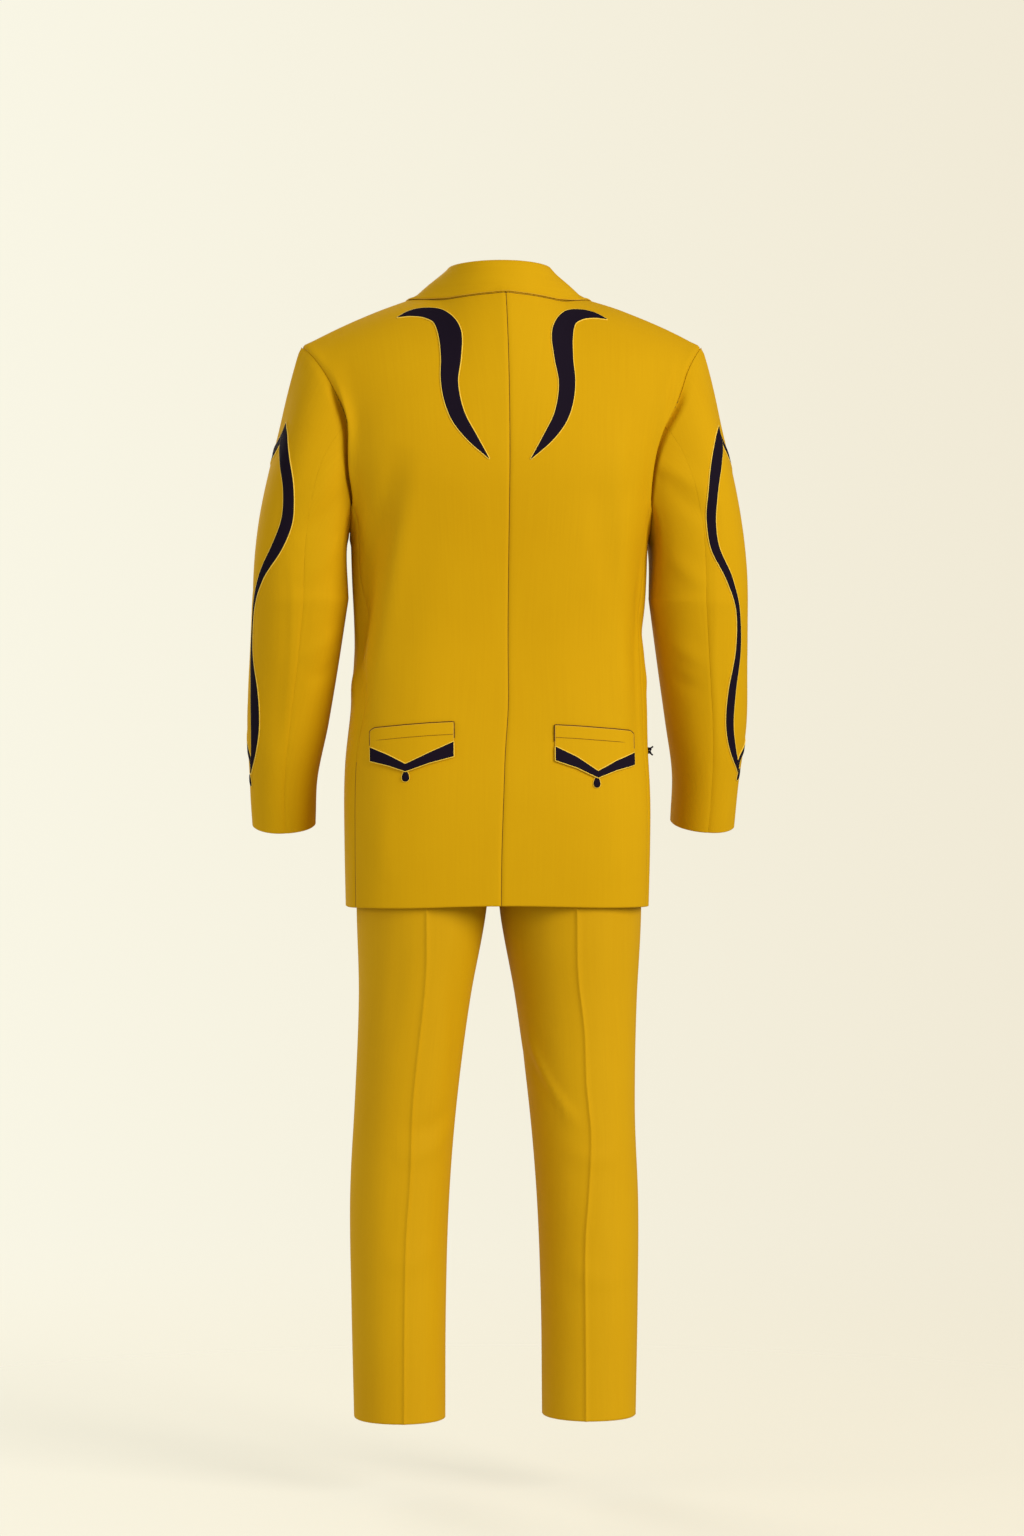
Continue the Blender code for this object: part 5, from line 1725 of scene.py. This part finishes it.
# %% The scrolls on the back
SCROLL = (
    # along, from centre, height, half breadth
    (0.00, 0.1350, 1.516, 0.0004),
    (0.07, 0.1180, 1.521, 0.0045),
    (0.14, 0.1000, 1.521, 0.0076),
    (0.22, 0.0830, 1.514, 0.0112),
    (0.32, 0.0725, 1.494, 0.0143),
    (0.45, 0.0720, 1.461, 0.0126),
    (0.58, 0.0750, 1.430, 0.0109),
    (0.68, 0.0720, 1.404, 0.0103),
    (0.78, 0.0640, 1.380, 0.0092),
    (0.88, 0.0485, 1.356, 0.0066),
    (1.00, 0.0268, 1.329, 0.0004),
)
SCROLL_STEPS = 90
TRIM_SHOWN = 0.0010          # thickness of the trim as it shows


def strip_grid(tree, path, columns):
    """Points across a path on the cloth: a point, an outward way and a half breadth a row."""
    tangents = unit(np.gradient(np.array([point for point, _, _ in path]), axis=0))
    rows = []
    for (point, out, half), tangent in zip(path, tangents):
        aside = unit(np.cross(tangent, out))
        rows.append([on_surface(tree, point + aside * half * k, out)
                     for k in even(-1, 1, columns)])
    return np.array(rows)


def edged_strip(name, points, outs, lift=CLOSE):
    """A strip of trim and the gold cord round it."""
    middle, normals = laid_piece(name, points, outs, TRIM_SHOWN, night_trim, "dark_trim",
                                 lift)
    edging(name + "_edge", outline(middle, normals, CORD_RADIUS * 0.5, TRIM_SHOWN * 0.25),
           CORD_RADIUS, gold_cord, slot="dark_trim")


for label, side in SIDES:
    path = []
    for along in even(0, 1, SCROLL_STEPS):
        x, z, half = through(SCROLL, along)
        path.append((dropped(side * x, z, 1), Y_OUT, half))
    edged_strip("back_scroll_" + label, strip_grid(cloth_face["body"], path, 8), Y_OUT)
print("two scrolls")

# %% [markdown]
# Down each sleeve runs a wavy strip of two branches, one behind and one in front, joined near
# the shoulder and again above the cuff, where a small tab hangs. Only the back branch shows in
# the photograph, so the front one mirrors it about a line near the sleeve's outer one. The
# right sleeve hangs turned farther to the front than the left one, so its strip shows more.

# %% The strips on the sleeves
STRIP_TOP = 1.380
STRIP_LONG = 0.452
STRIP = {
    # side: below the top, degrees, half breadth
    1: ((0.000, 19.0, 0.0005), (0.018, 23.0, 0.0106), (0.045, 37.0, 0.0104),
        (0.085, 57.0, 0.0080), (0.125, 65.0, 0.0079), (0.162, 55.0, 0.0080),
        (0.200, 31.0, 0.0058), (0.240, 12.0, 0.0044), (0.290, 11.0, 0.0062),
        (0.345, 28.0, 0.0098), (0.390, 35.0, 0.0092), (0.425, 31.0, 0.0060),
        (0.452, 18.0, 0.0022)),
    -1: ((0.000, 27.0, 0.0005), (0.018, 38.0, 0.0086), (0.045, 54.0, 0.0088),
         (0.085, 71.0, 0.0069), (0.125, 80.5, 0.0062), (0.162, 79.0, 0.0056),
         (0.200, 63.0, 0.0049), (0.240, 50.0, 0.0037), (0.290, 50.0, 0.0050),
         (0.345, 62.0, 0.0062), (0.390, 66.0, 0.0058), (0.425, 56.0, 0.0047),
         (0.452, 35.0, 0.0022)),
}
STRIP_MIRROR = {1: 2.0, -1: 16.0}       # degrees about which the front branch mirrors it
STRIP_STEPS = 120
STRIP_PARTS = (0.17, 0.16)   # over what shares of its length it parts from the back one
STRIP_THIN = 0.45            # its breadth below the arrow point, as a share of the back one's


def sleeve_strip(label, side, front):
    tree = cloth_face["sleeve_" + label]
    path = []
    for along in even(0.012 if front else 0.0, 0.985 if front else 1, STRIP_STEPS):
        degrees, half = through(STRIP[side], along * STRIP_LONG)
        if front:
            apart = smooth_step(min(along / STRIP_PARTS[0], (1 - along) / STRIP_PARTS[1]))
            degrees += 2 * (STRIP_MIRROR[side] - degrees) * apart
            half *= STRIP_THIN + (1 - STRIP_THIN) * smooth_step(along / STRIP_PARTS[1])
        point, out = sleeve_at(degrees, STRIP_TOP - along * STRIP_LONG, side)
        path.append((on_surface(tree, point, out), out, half))
    outs = np.array([out for _, out, _ in path])[:, None]
    edged_strip("sleeve_strip_" + ("front_" if front else "back_") + label,
                strip_grid(tree, path, 5), outs)


for label, side in SIDES:
    sleeve_strip(label, side, False)
    sleeve_strip(label, side, True)
print("four strips")

# %% [markdown]
# The collar is one folded band: a stand that rises from the neck seam, a soft fold, and a fall
# that lies on the shoulders and on the lapels. Its line across is drawn at each place round
# the neck, from the seam to the edge, and smoothed in both directions.

# %% The collar
GORGE_HEIGHT = 1.468     # top of the lapel at the roll line
COLLAR = (
    # round, fold x, y, z, edge x, y, z, out x, y, z
    (0.00, 0.000, -0.008, 0.0205, 0.000, 0.080, 1.5462, 0.0, 1.0, 0.25),
    (0.25, -0.006, -0.007, 0.0210, 0.058, 0.066, 1.5462, 0.2, 0.8, 0.5),
    (0.50, -0.010, -0.002, 0.0215, 0.116, -0.010, 1.5440, 0.3, 0.0, 1.0),
    (0.75, -0.006, -0.009, 0.016, 0.128, -0.055, 1.5150, 0.2, -0.8, 0.6),
    (1.00, -0.003, -0.009, 0.007, 0.116, -0.105, 1.4760, 0.0, -1.0, 0.1),
)
COLLAR_CLOTH = 0.0020
COLLAR_STEPS = 22        # from centre back to one end
COLLAR_FOLD = 0.0032     # half the room inside the collar's fold
LAID = 0.0006            # how far a piece that lies on a panel starts above it
EDGE_CLEAR = 0.0004      # how far the collar's edge stands clear of the cloth
FALL_FROM = 4            # columns past the middle where the collar's fall starts
FALL_CLEAR = 0.0003      # how far the fall stays clear of the cloth
RAISED_MOST = 0.012      # how far it may be raised for that


def neck_seam(around):
    """The seam that the collar is sewn to: round the neck, then down the roll line."""
    if around <= 0.5:
        return back_point(NECK_SHARE * 2 * around, 1)
    height = NECK_POINT[2] + (GORGE_HEIGHT - NECK_POINT[2]) * (2 * around - 1)
    return front_point(0, halved(LOWER, 1.0, lambda v: front_point(0, v)[2] < height, 40))


def collar_station(around, side, tree):
    """The collar's middle line across its breadth: up the stand, over the fold, down the fall."""
    row = through(COLLAR, around)
    seam = neck_seam(around)
    fold = seam + row[:3]
    out = mirror(side) * row[6:9]
    edge = on_surface(tree, mirror(side) * row[3:6], out) * mirror(side)
    edge = edge + unit(row[6:9]) * (LAID + COLLAR_CLOTH / 2)
    away = unit((edge - fold) * (1, 1, 0))
    line = [
        seam + (fold - seam) * 0.12 - away * 0.0004,
        seam + (fold - seam) * 0.60,
        fold - UP * 0.0015,
        fold + away * COLLAR_FOLD * 0.9 + UP * 0.0014,
        fold + away * COLLAR_FOLD * 2.1 - UP * 0.0022,
        fold * 0.45 + edge * 0.55 + unit(row[6:9]) * 0.0038,
        edge,
    ]
    return np.array(line) * mirror(side)


def lifted_clear(tree, points, outs, gap):
    """Points raised where the cloth below would come through."""
    raised = points.copy()
    for r in range(points.shape[0]):
        for c in range(points.shape[1]):
            under = on_surface(tree, points[r, c], outs[r, c])
            over = float((under - points[r, c]) @ outs[r, c]) + gap
            if over > 0:
                raised[r, c] += outs[r, c] * min(over, RAISED_MOST)
    return raised


def softened(points, passes, fixed):
    """Each point drawn towards its neighbours along the first axis, apart from fixed columns."""
    for _ in range(passes):
        pull = (points[:-2] + points[2:]) / 2 - points[1:-1]
        pull[:, fixed] = 0
        points[1:-1] += pull * 0.5
    return points


def collar():
    tree = cloth_face["body"]
    turns_round = even(0, 1, COLLAR_STEPS)
    stations_round = [collar_station(t, -1, tree) for t in turns_round[::-1]]
    stations_round += [collar_station(t, 1, tree) for t in turns_round[1:]]
    points = softened(np.array(stations_round), 3, [0, 1])
    points = flipped(finer(flipped(finer(points, (2 * COLLAR_STEPS,))), (3, 3)))
    falls = points.shape[1] // 2 + FALL_FROM
    looks = unit(points[:, -1] - points[:, 0]) * (1, 1, 0)
    outs = np.repeat(unit(unit(looks) + (0, 0, 0.7))[:, None], points.shape[1], axis=1)
    gap = COLLAR_CLOTH / 2 + FALL_CLEAR
    points[:, falls:] = lifted_clear(tree, points[:, falls:], outs[:, falls:], gap)
    points[:, -2:] += outs[:, -2:] * EDGE_CLEAR
    normals = grid_normals(points, 1)
    if normals[points.shape[0] // 2, 2, 1] > 0:
        normals = -normals
    piece = closed_piece("collar", *wall(points, normals, COLLAR_CLOTH))
    finished(piece, mustard_twill, "suit_cloth", "collar")
    declare(piece, points)
    return points


collar_points = collar()
print("collar", collar_points.shape[:2], "points")

# %% [markdown]
# The collar's outer edge is turned and pressed, and shows as a fine roll, whose cord is a
# lighter mustard that paints a highlight on it, with a painted shadow line under it. A fine
# dark line of painted shade, a dark brown cord, lies deep in the groove of a seam, down the
# centre back, down the side-back seams and round the back of the armholes; under the arm,
# where the groove is deepest, it is thicker.

# %% Edge lines, and lines of painted shade in the seams
# The lines in the seams and the collar's shadow line are dark brown cords of painted shade.
SEAM_SHADE_RADIUS = 0.00038          # radii of the lines
SHADOW_LINE = 0.00040
COLLAR_EDGE = 0.00055
UNDERARM_SHADE_RADIUS = 0.0009
UNDERARM_LIFT = 0.0006
UNDERARM_TOP = {1: 1.366, -1: 1.330}     # where the deep part of each armhole's line starts
SIDE_LINE_TOP = 0.945
ARMHOLE_LINE = (1.276, 1.47)


def collar_edge():
    away = unit(collar_points[:, -1] - collar_points[:, -2])
    roll = collar_points[:, -1] + away * COLLAR_CLOTH * 0.42
    # The lighter cord on the edge paints its highlight, and the dark cord under it paints its
    # shadow.
    edging("collar_edge", roll, COLLAR_EDGE, light_cord_painted_highlight, False)
    under = [on_surface(cloth_face["body"], p, unit(way * (1, 1, 0) + (0, 0, 0.8)))
             for p, way in zip(roll + away * 0.0007, away)]
    edging("collar_shade", under[4:-4], SHADOW_LINE, painted_shade_cord, False)


def lay_seam_shade(name, panel, column, low, high, radius=SEAM_SHADE_RADIUS, lift=0):
    """A fine dark line of painted shade along the outer face of one edge of a panel, between two
    heights.
    """
    line = panel.points[:, column] + panel.leans[:, column] * (panel.thickness / 2 + lift)
    edging(name, line[(line[:, 2] > low) & (line[:, 2] < high)], radius, painted_shade_cord, False)


collar_edge()
for panel in jacket:
    if panel.name[:5] == "back_":
        inner, outer = (0, -1) if abs(panel.points[20, 0, 0]) < abs(panel.points[20, -1, 0]) \
            else (-1, 0)
        label = panel.name[5:]
        if label == "left":
            lay_seam_shade("centre_back_line", panel, inner, 0, 9)
        lay_seam_shade("side_seam_line_" + label, panel, outer, 0, SIDE_LINE_TOP)
        lay_seam_shade("armhole_line_" + label, panel, outer, *ARMHOLE_LINE)
        lay_seam_shade("underarm_line_" + label, panel, outer, ARMHOLE_LINE[0],
                  UNDERARM_TOP[panel.side], UNDERARM_SHADE_RADIUS, UNDERARM_LIFT)
print("edge lines and seam lines")

# %% [markdown]
# A lapel is the turned-back top of the front, laid here from the roll line out to its edge. It
# rises a little from the front at the roll, where the cloth is doubled, and lies flat at its
# edge. Its pointed top meets the collar's end at the gorge.

# %% The lapels
LAPEL = (
    # height, breadth
    (1.188, 0.004),
    (1.240, 0.027),
    (1.320, 0.054),
    (1.400, 0.076),
    (1.458, 0.088),
)
RIGHT_LAPEL_START = 1.236
LAPEL_ROLL = 0.0022          # how far the lapel stands up beside the roll
GORGE_GAP = 0.003            # space below the collar's end
ROLL_GAP = {1: 0.0020, -1: 0.0045}       # from the roll line, and from the other front's edge


def lapel(label, side):
    bottom = LAPEL[0][0] if side == 1 else RIGHT_LAPEL_START
    rows = []
    for share in even(0, 1, 56):
        low = bottom + (GORGE_HEIGHT - GORGE_GAP - bottom) * share
        inner = roll_x(low) + ROLL_GAP[1]
        if side == -1:
            inner = max(inner, ROLL_GAP[-1] - roll_x(low))
        high = bottom + (LAPEL[-1][0] - bottom) * share
        outer = roll_x(high) + through(LAPEL, high)[0]
        row = []
        for across in even(0, 1, 20):
            point = dropped(side * (inner + (outer - inner) * across),
                            low + (high - low) * across, -1)
            stand = LAPEL_ROLL * math.sin(math.pi * min(across * 1.6, 1)) * min(share * 6, 1)
            row.append(point - Y_OUT * stand)
        rows.append(row)
    laid_piece("lapel_" + label, np.array(rows), -Y_OUT, JACKET_CLOTH, mustard_twill,
               "suit_cloth")


for label, side in SIDES:
    lapel(label, side)
print("lapels from", LAPEL[0][0], "and", RIGHT_LAPEL_START, "m up")

# %% [markdown]
# Two pocket flaps lie on the back below the waist. Each has a stitched line across its upper
# part, a point below, a chevron of dark trim along its lower edge, and a drop of trim that
# hangs from the point. The flap lies on its own table: where it is, and where its edges and
# the chevron's run.

# %% The pocket flaps
FLAP = {
    # side: along, from centre, top, band top, bottom
    1: ((0.00, 0.0708, 0.9948, 0.9702, 0.9516), (0.29, 0.1010, 0.9932, 0.9566, 0.9436),
        (0.58, 0.1306, 0.9908, 0.9420, 0.9326), (0.79, 0.1512, 0.9888, 0.9530, 0.9398),
        (1.00, 0.1726, 0.9866, 0.9628, 0.9454)),
    -1: ((0.00, 0.0590, 0.9909, 0.9640, 0.9466), (0.26, 0.0862, 0.9896, 0.9512, 0.9376),
         (0.53, 0.1138, 0.9876, 0.9330, 0.9246), (0.76, 0.1386, 0.9858, 0.9462, 0.9342),
         (1.00, 0.1636, 0.9837, 0.9567, 0.9408)),
}
FLAP_SHOWN = 0.0016          # thickness of a flap as it shows
FLAP_LIFT = 0.0004
FLAP_EDGE = 0.00055          # radius of the cord round it
FLAP_LINE = 0.0150           # from the top edge to the stitched line
FLAP_CORNER = (0.93, 0.07, 0.0036)       # where its outer top corner rounds off, and how far
# The dark line that shows outside the flap's top and sides is a dark brown cord: a painted shadow
# of the gap under the flap.
FLAP_SHADOW_OUT = 0.0011           # how far outside its edge a dark line shows
FLAP_STEPS = 60
FLAP_SIDE = 11               # rows of the flap's sides that show a dark line


def through_line(rows, at):
    """The other columns' values on straight runs through the rows."""
    keys = [row[0] for row in rows]
    return np.array([np.interp(at, keys, [row[k] for row in rows])
                     for k in range(1, len(rows[0]))])


def flap_points(side, top_of, bottom_of, rows):
    """Points on the back between two heights that are given for each place along the flap."""
    found = []
    for down in even(0, 1, rows):
        line = []
        for along in even(0, 1, FLAP_STEPS):
            row = through_line(FLAP[side], along)
            z = top_of(along, row) + (bottom_of(along, row) - top_of(along, row)) * down
            line.append(dropped(side * row[0], z, 1))
        found.append(line)
    return np.array(found)


def pocket_flap(label, side):
    def top(along, row):
        start, over, drop = FLAP_CORNER
        corner = max(along - start, 0) / over
        return row[1] - drop * corner * corner

    def bottom(along, row):
        return row[3]

    name = "pocket_flap_" + label
    middle, normals = laid_piece(name, flap_points(side, top, bottom, 24), Y_OUT, FLAP_SHOWN,
                                 mustard_twill, "suit_cloth", FLAP_LIFT)
    # The flap's edge cord is real; its lighter colour is a painted highlight.
    edging(name + "_edge", outline(middle, normals, 0.0, -FLAP_SHOWN * 0.30), FLAP_EDGE, light_cord_painted_highlight)
    face = flap_points(side, lambda along, row: top(along, row) - FLAP_LINE, bottom, 1)[0]
    face = face + Y_OUT * (0.0005 + FLAP_SHOWN) / np.maximum(normals[6, :, 1:2], 0.94)
    # A dark brown cord just outside the flap's top and sides paints the shadow in the gap under it.
    around = outline(middle, normals, FLAP_SHADOW_OUT, -0.0006)
    painted_gap_line = around[-FLAP_SIDE:] + around[:FLAP_STEPS + 1 + FLAP_SIDE]
    stitching(name + "_stitches", face[1:-1], stitch_thread, Pitch=0.0022, Radius=0.00040)
    edging(name + "_mouth", painted_gap_line, FLAP_EDGE, painted_shade_cord, False)
    edged_strip("flap_chevron_" + label,
                flap_points(side, lambda along, row: row[2], bottom, 6), Y_OUT,
                FLAP_LIFT + FLAP_SHOWN + CLOSE)


for label, side in SIDES:
    pocket_flap(label, side)
print("flaps", round(FLAP[1][-1][1] - FLAP[1][0][1], 3), "m broad")

# %% [markdown]
# The drops below the flaps and the tabs at the ends of the sleeve strips are small padded
# teardrops of the same trim, sewn on by their narrow end and edged with the same cord.

# %% Drops and tabs
DROP_TAPER = (0.72, 0.28, 1.2)   # breadth at the middle, how much less above, and over all
PAD_EDGE = 0.35                  # thickness at the rim, as a share of the middle's
DROP_MESH = (28, 5)              # points round it and rings


def teardrop(name, tree, place, out, size, thickness):
    """A padded teardrop with its narrow end up, and the cord round it."""
    breadth, height = size
    out = np.array(out, float)
    across = unit(np.cross(UP, out))
    around, rings = DROP_MESH
    level, more, broad = DROP_TAPER
    spots = []
    rim = []
    for ring in range(rings + 1):
        share = ring / rings
        for k in range(around):
            turn = 2 * math.pi * k / around
            narrow = level - more * math.cos(turn)
            x = breadth * math.sin(turn) * narrow * broad * share
            z = height * math.cos(turn) * share
            foot = on_surface(tree, place + across * x + UP * z, out)
            puff = thickness * math.sqrt(max(1 - share**2.4, 0)) * (1 - PAD_EDGE) \
                + thickness * PAD_EDGE
            spots.append(foot + out * (CLOSE + puff))
            if ring == rings:
                rim.append(foot + out * (CLOSE + thickness * 0.18))
    low = [p - out * thickness * PAD_EDGE for p in spots[around * rings:]]
    points = [sum(spots[:around]) / around] + spots[around:] + low
    faces = [(0, 1 + k, 1 + (k + 1) % around) for k in range(around)]
    for ring in range(rings):
        for k in range(around):
            n = (k + 1) % around
            a = 1 + ring * around
            faces.append((a + k, a + around + k, a + around + n, a + n))
    last = 1 + rings * around
    faces.append(tuple(last + k for k in range(around)))
    uvs = np.array([((p - place) @ across, p[2]) for p in points])
    finished(closed_piece(name, points, faces, uvs, sharp=50), night_trim, "dark_trim", name)
    edging(name + "_edge", rim, CORD_RADIUS * 0.8, gold_cord, slot="dark_trim")


DROP = {1: (0.1312, 0.9270), -1: (0.1130, 0.9192)}      # middles of the drops
DROP_SIZE = (0.0052, 0.0076)
TAB = {1: (16.0, 0.918), -1: (35.0, 0.9265)}            # degrees and heights of the tabs
TAB_SIZE = (0.0046, 0.0085)
for label, side in SIDES:
    teardrop("flap_drop_" + label, cloth_face["body"],
             dropped(side * DROP[side][0], DROP[side][1], 1), Y_OUT, DROP_SIZE, 0.0030)
    point, out = sleeve_at(*TAB[side], side)
    out = unit(out * (1, 1, 0))
    arm = cloth_face["sleeve_" + label]
    teardrop("strip_tab_" + label, arm, on_surface(arm, point, out), out, TAB_SIZE, 0.0024)
print("two drops and two tabs")

# %% [markdown]
# The front is not in the photograph, so it follows what such a suit has: two horn buttons on
# the left front, with buttonholes behind them, and below, trousers with a plain fly, a
# waistband and one button. A button is turned: a raised rim, a shallow dish and four holes.

# %% Buttons
PROFILE = ((0.46, 0.62), (0.60, 0.70), (0.72, 0.92), (0.84, 1.0), (0.95, 0.88), (1.0, 0.55),
           (0.97, 0.20), (0.80, 0.0))     # shares of a button's radius and thickness
HOLE_AT = 0.26           # shares of the radius
HOLE_RADIUS = 0.105
BUTTON_SINK = 0.0006
BUTTON_POINTS = 40
FRONT_BUTTON = (0.0095, 0.0030)      # radius and thickness
WAIST_BUTTON = (0.0070, 0.0025)
HOLE_START, HOLE_LENGTH = -0.0105, 0.0225    # of a buttonhole
HOLE_HALF, HOLE_END = 0.0011, 1.6            # half its breadth, and how much wider its end is
HOLE_POINTS = 48
THREAD = (0.50, 0.18, 0.22, 0.045)   # its foot, rise and top by thickness, radius by radius


def round_mesh(name, rings):
    """A closed mesh from rings of points."""
    mesh = bpy.data.meshes.new(name)
    with edited(mesh) as work:
        rows = [[work.verts.new(point) for point in ring] for ring in rings]
        for low, high in zip(rows, rows[1:]):
            for k, n in zip(range(len(low)), [*range(1, len(low)), 0]):
                work.faces.new((low[k], low[n], high[n], high[k]))
        work.faces.new(rows[-1])
        work.faces.new(list(reversed(rows[0])))
    return mesh


def hole_cutter(holes, radius, depth):
    """A short cylinder at each hole of a button on the front."""
    mesh = bpy.data.meshes.new("holes")
    turned = Vector(-Y_OUT).to_track_quat("Z", "Y").to_matrix().to_4x4()
    with edited(mesh) as work:
        for centre in holes:
            made = bmesh.ops.create_cone(work, cap_ends=True, segments=12, radius1=radius,
                                         radius2=radius, depth=depth)
            turned.translation = Vector(centre)
            bmesh.ops.transform(work, matrix=turned, verts=made["verts"])
    return placed("holes", mesh)


def button_thread(name, holes, radius, thickness):
    """The crossed threads that hold a button, each through two holes."""
    foot, rise, high, slim = THREAD
    threads = []
    for pair in ((0, 2), (1, 3)):
        first, last = [holes[k] - Y_OUT * thickness * foot for k in pair]
        top = (first + last) / 2 - Y_OUT * thickness * high
        up = -Y_OUT * thickness * rise
        threads.append(cord(name, [first, first + up, top, last + up, last], radius * slim,
                            stitch_thread, False))
    finished(joined(name, threads), stitch_thread, "suit_cloth")


def turned_button(name, foot, radius, thickness):
    """A button on the front from its turned profile, with four holes through its dish."""
    place = foot - Y_OUT * BUTTON_SINK
    out = -Y_OUT
    across = unit(np.cross(UP, out))

    def round_way(turn):
        return across * math.cos(turn) + np.cross(out, across) * math.sin(turn)

    disc = placed(name, round_mesh(name, [
        [place + round_way(t) * radius * share + out * thickness * height
         for t in round_turns(BUTTON_POINTS)] for share, height in PROFILE]))
    holes = [place + round_way(math.pi / 4 + math.pi / 2 * k) * radius * HOLE_AT
             for k in range(4)]
    cutter = hole_cutter(holes, radius * HOLE_RADIUS, thickness * 4)
    cut = disc.modifiers.new("holes", "BOOLEAN")
    cut.object = cutter
    cut.solver = "EXACT"
    plain = bpy.data.meshes.new_from_object(
        disc.evaluated_get(bpy.context.evaluated_depsgraph_get()))
    for spent in (disc, cutter):
        bpy.data.objects.remove(spent, do_unlink=True)
    with edited(plain) as work:
        bmesh.ops.translate(work, vec=(0, 0, -HELD_AT), verts=work.verts[:])
        bmesh.ops.recalc_face_normals(work, faces=work.faces[:])
    plain.name = name
    plain.shade_smooth()
    plain.set_sharp_from_angle(angle=math.radians(40))
    finished(placed(name, plain), dark_horn, "button", name)
    button_thread(name + "_thread", holes, radius, thickness)


def buttonhole(name, start, length, height):
    """The worked edge of a buttonhole: close stitches round a slit with a wider end."""
    line = []
    for turn in round_turns(HOLE_POINTS):
        end = HOLE_END if math.cos(turn) > 0.9 else 1
        line.append(dropped(start + length / 2 + length / 2 * math.cos(turn),
                            height + HOLE_HALF * math.sin(turn) * end, -1) - Y_OUT * 0.0002)
    stitching(name, line, light_cord_painted_highlight, True, Pitch=0.0007, Radius=0.00045, Length=0.0010)


BUTTON_HEIGHTS = (1.165, 1.045)
for k, height in enumerate(BUTTON_HEIGHTS):
    turned_button("front_button_" + str(k + 1), dropped(0.0, height, -1), *FRONT_BUTTON)
for k, height in enumerate(BUTTON_HEIGHTS):
    buttonhole("buttonhole_" + str(k + 1), HOLE_START, HOLE_LENGTH, height)
print(len(BUTTON_HEIGHTS), "front buttons and buttonholes")

# %% Fly, waistband and the small knot
FLY_BREADTH = 0.036
FLY_HEIGHTS = (0.905, TROUSER_WAIST - 0.004)
FLY_ROUND = (0.900, 0.035)       # its lower end is round, from where and over what height
BAND_STEPS = (6, 128)            # up the waistband and round it
BAND_TAPER = 0.02
FLY_EDGE = 0.0015                # how far from the middle it starts
KNOT = (-0.190, -0.008, 0.9595)      # where the knot sits at the side
KNOT_OUT = 0.0044                # how far its middle stands out


def fly():
    rows = []
    start, over = FLY_ROUND
    for z in even(*FLY_HEIGHTS, 40):
        breadth = FLY_BREADTH * min((z - start) / over, 1) ** 0.5
        rows.append([dropped(FLY_EDGE + breadth * k, z, -1, leg_face) for k in even(0, 1, 10)])
    middle, _ = laid_piece("fly", np.array(rows), -Y_OUT, TROUSER_CLOTH, pressed_twill,
                           "trouser_cloth", LAID)
    stitching("fly_stitches", middle[2:, -2] - Y_OUT * TROUSER_CLOTH / 2, stitch_thread,
              slot="trouser_cloth")


def waistband():
    half_width, _, back, front, _ = through(HIPS, TROUSER_WAIST)
    up, steps = BAND_STEPS
    rows = []
    for rise in even(SEAM, WAISTBAND, up):
        taper = 1 - BAND_TAPER * (rise - SEAM) / (WAISTBAND - SEAM)
        row = []
        for k in range(steps + 1):
            turn = 2 * math.pi * k / steps
            depth = back if math.cos(turn) > 0 else front
            row.append((half_width * signed_power(math.sin(turn), HIP_POWER) * taper,
                        depth * signed_power(math.cos(turn), HIP_POWER), TROUSER_WAIST + rise))
        rows.append(row)
    points = np.array(rows)
    points[:, -1] = points[:, 0]
    normals = grid_normals(points, 1)
    if normals[2, 10, 1] < 0:
        normals = -normals
    normals[:, 0] = normals[:, -1] = unit(normals[:, 0] + normals[:, -1])
    spots, faces, uvs = wall(points, normals, TROUSER_CLOTH, ("low", "high"))
    piece = closed_piece("waistband", spots, faces, uvs)
    with edited(piece.data) as work:
        bmesh.ops.remove_doubles(work, verts=work.verts[:], dist=0.00002)
        doubled = [face for face in work.faces if face.calc_area() < 1e-12]
        bmesh.ops.delete(work, geom=doubled, context="FACES_ONLY")
    finished(piece, pressed_twill, "trouser_cloth", "waistband")
    band = BVHTree.FromPolygons([Vector(p) for p in spots], faces)
    turned_button("waist_button", dropped(0.012, TROUSER_WAIST + 0.02, -1, band), *WAIST_BUTTON)


def side_knot():
    """The small knotted end of trim at the right side: two turns and two short ends."""
    middle = on_surface(cloth_face["body"], KNOT, (-1, 0, 0)) - (KNOT_OUT, 0, 0)
    pieces = []
    loops = ((0.0034, 0.0022, 0.0), (0.0030, -0.0020, 0.9))
    for size, rise, start in loops:
        ring = [middle + np.array((0.6 * size * math.cos(t + start), 1.1 * size
                                   * math.sin(t + start), rise + 0.0012 * math.sin(2 * t)))
                for t in round_turns(20)]
        pieces.append(cord("turn", ring, 0.0013, night_trim))
    for way in (1, -1):
        end = [middle + np.array((-0.0010 * k, 0.0004 * way * k, (0.0016 + 0.0008 * k) * way))
               for k in even(0, 5, 8)]
        pieces.append(cord("end", end, 0.0011, night_trim, False))
    finished(joined("side_knot_right", pieces), night_trim, "dark_trim", "side_knot_right")


fly()
waistband()
side_knot()
print("fly, waistband and knot")
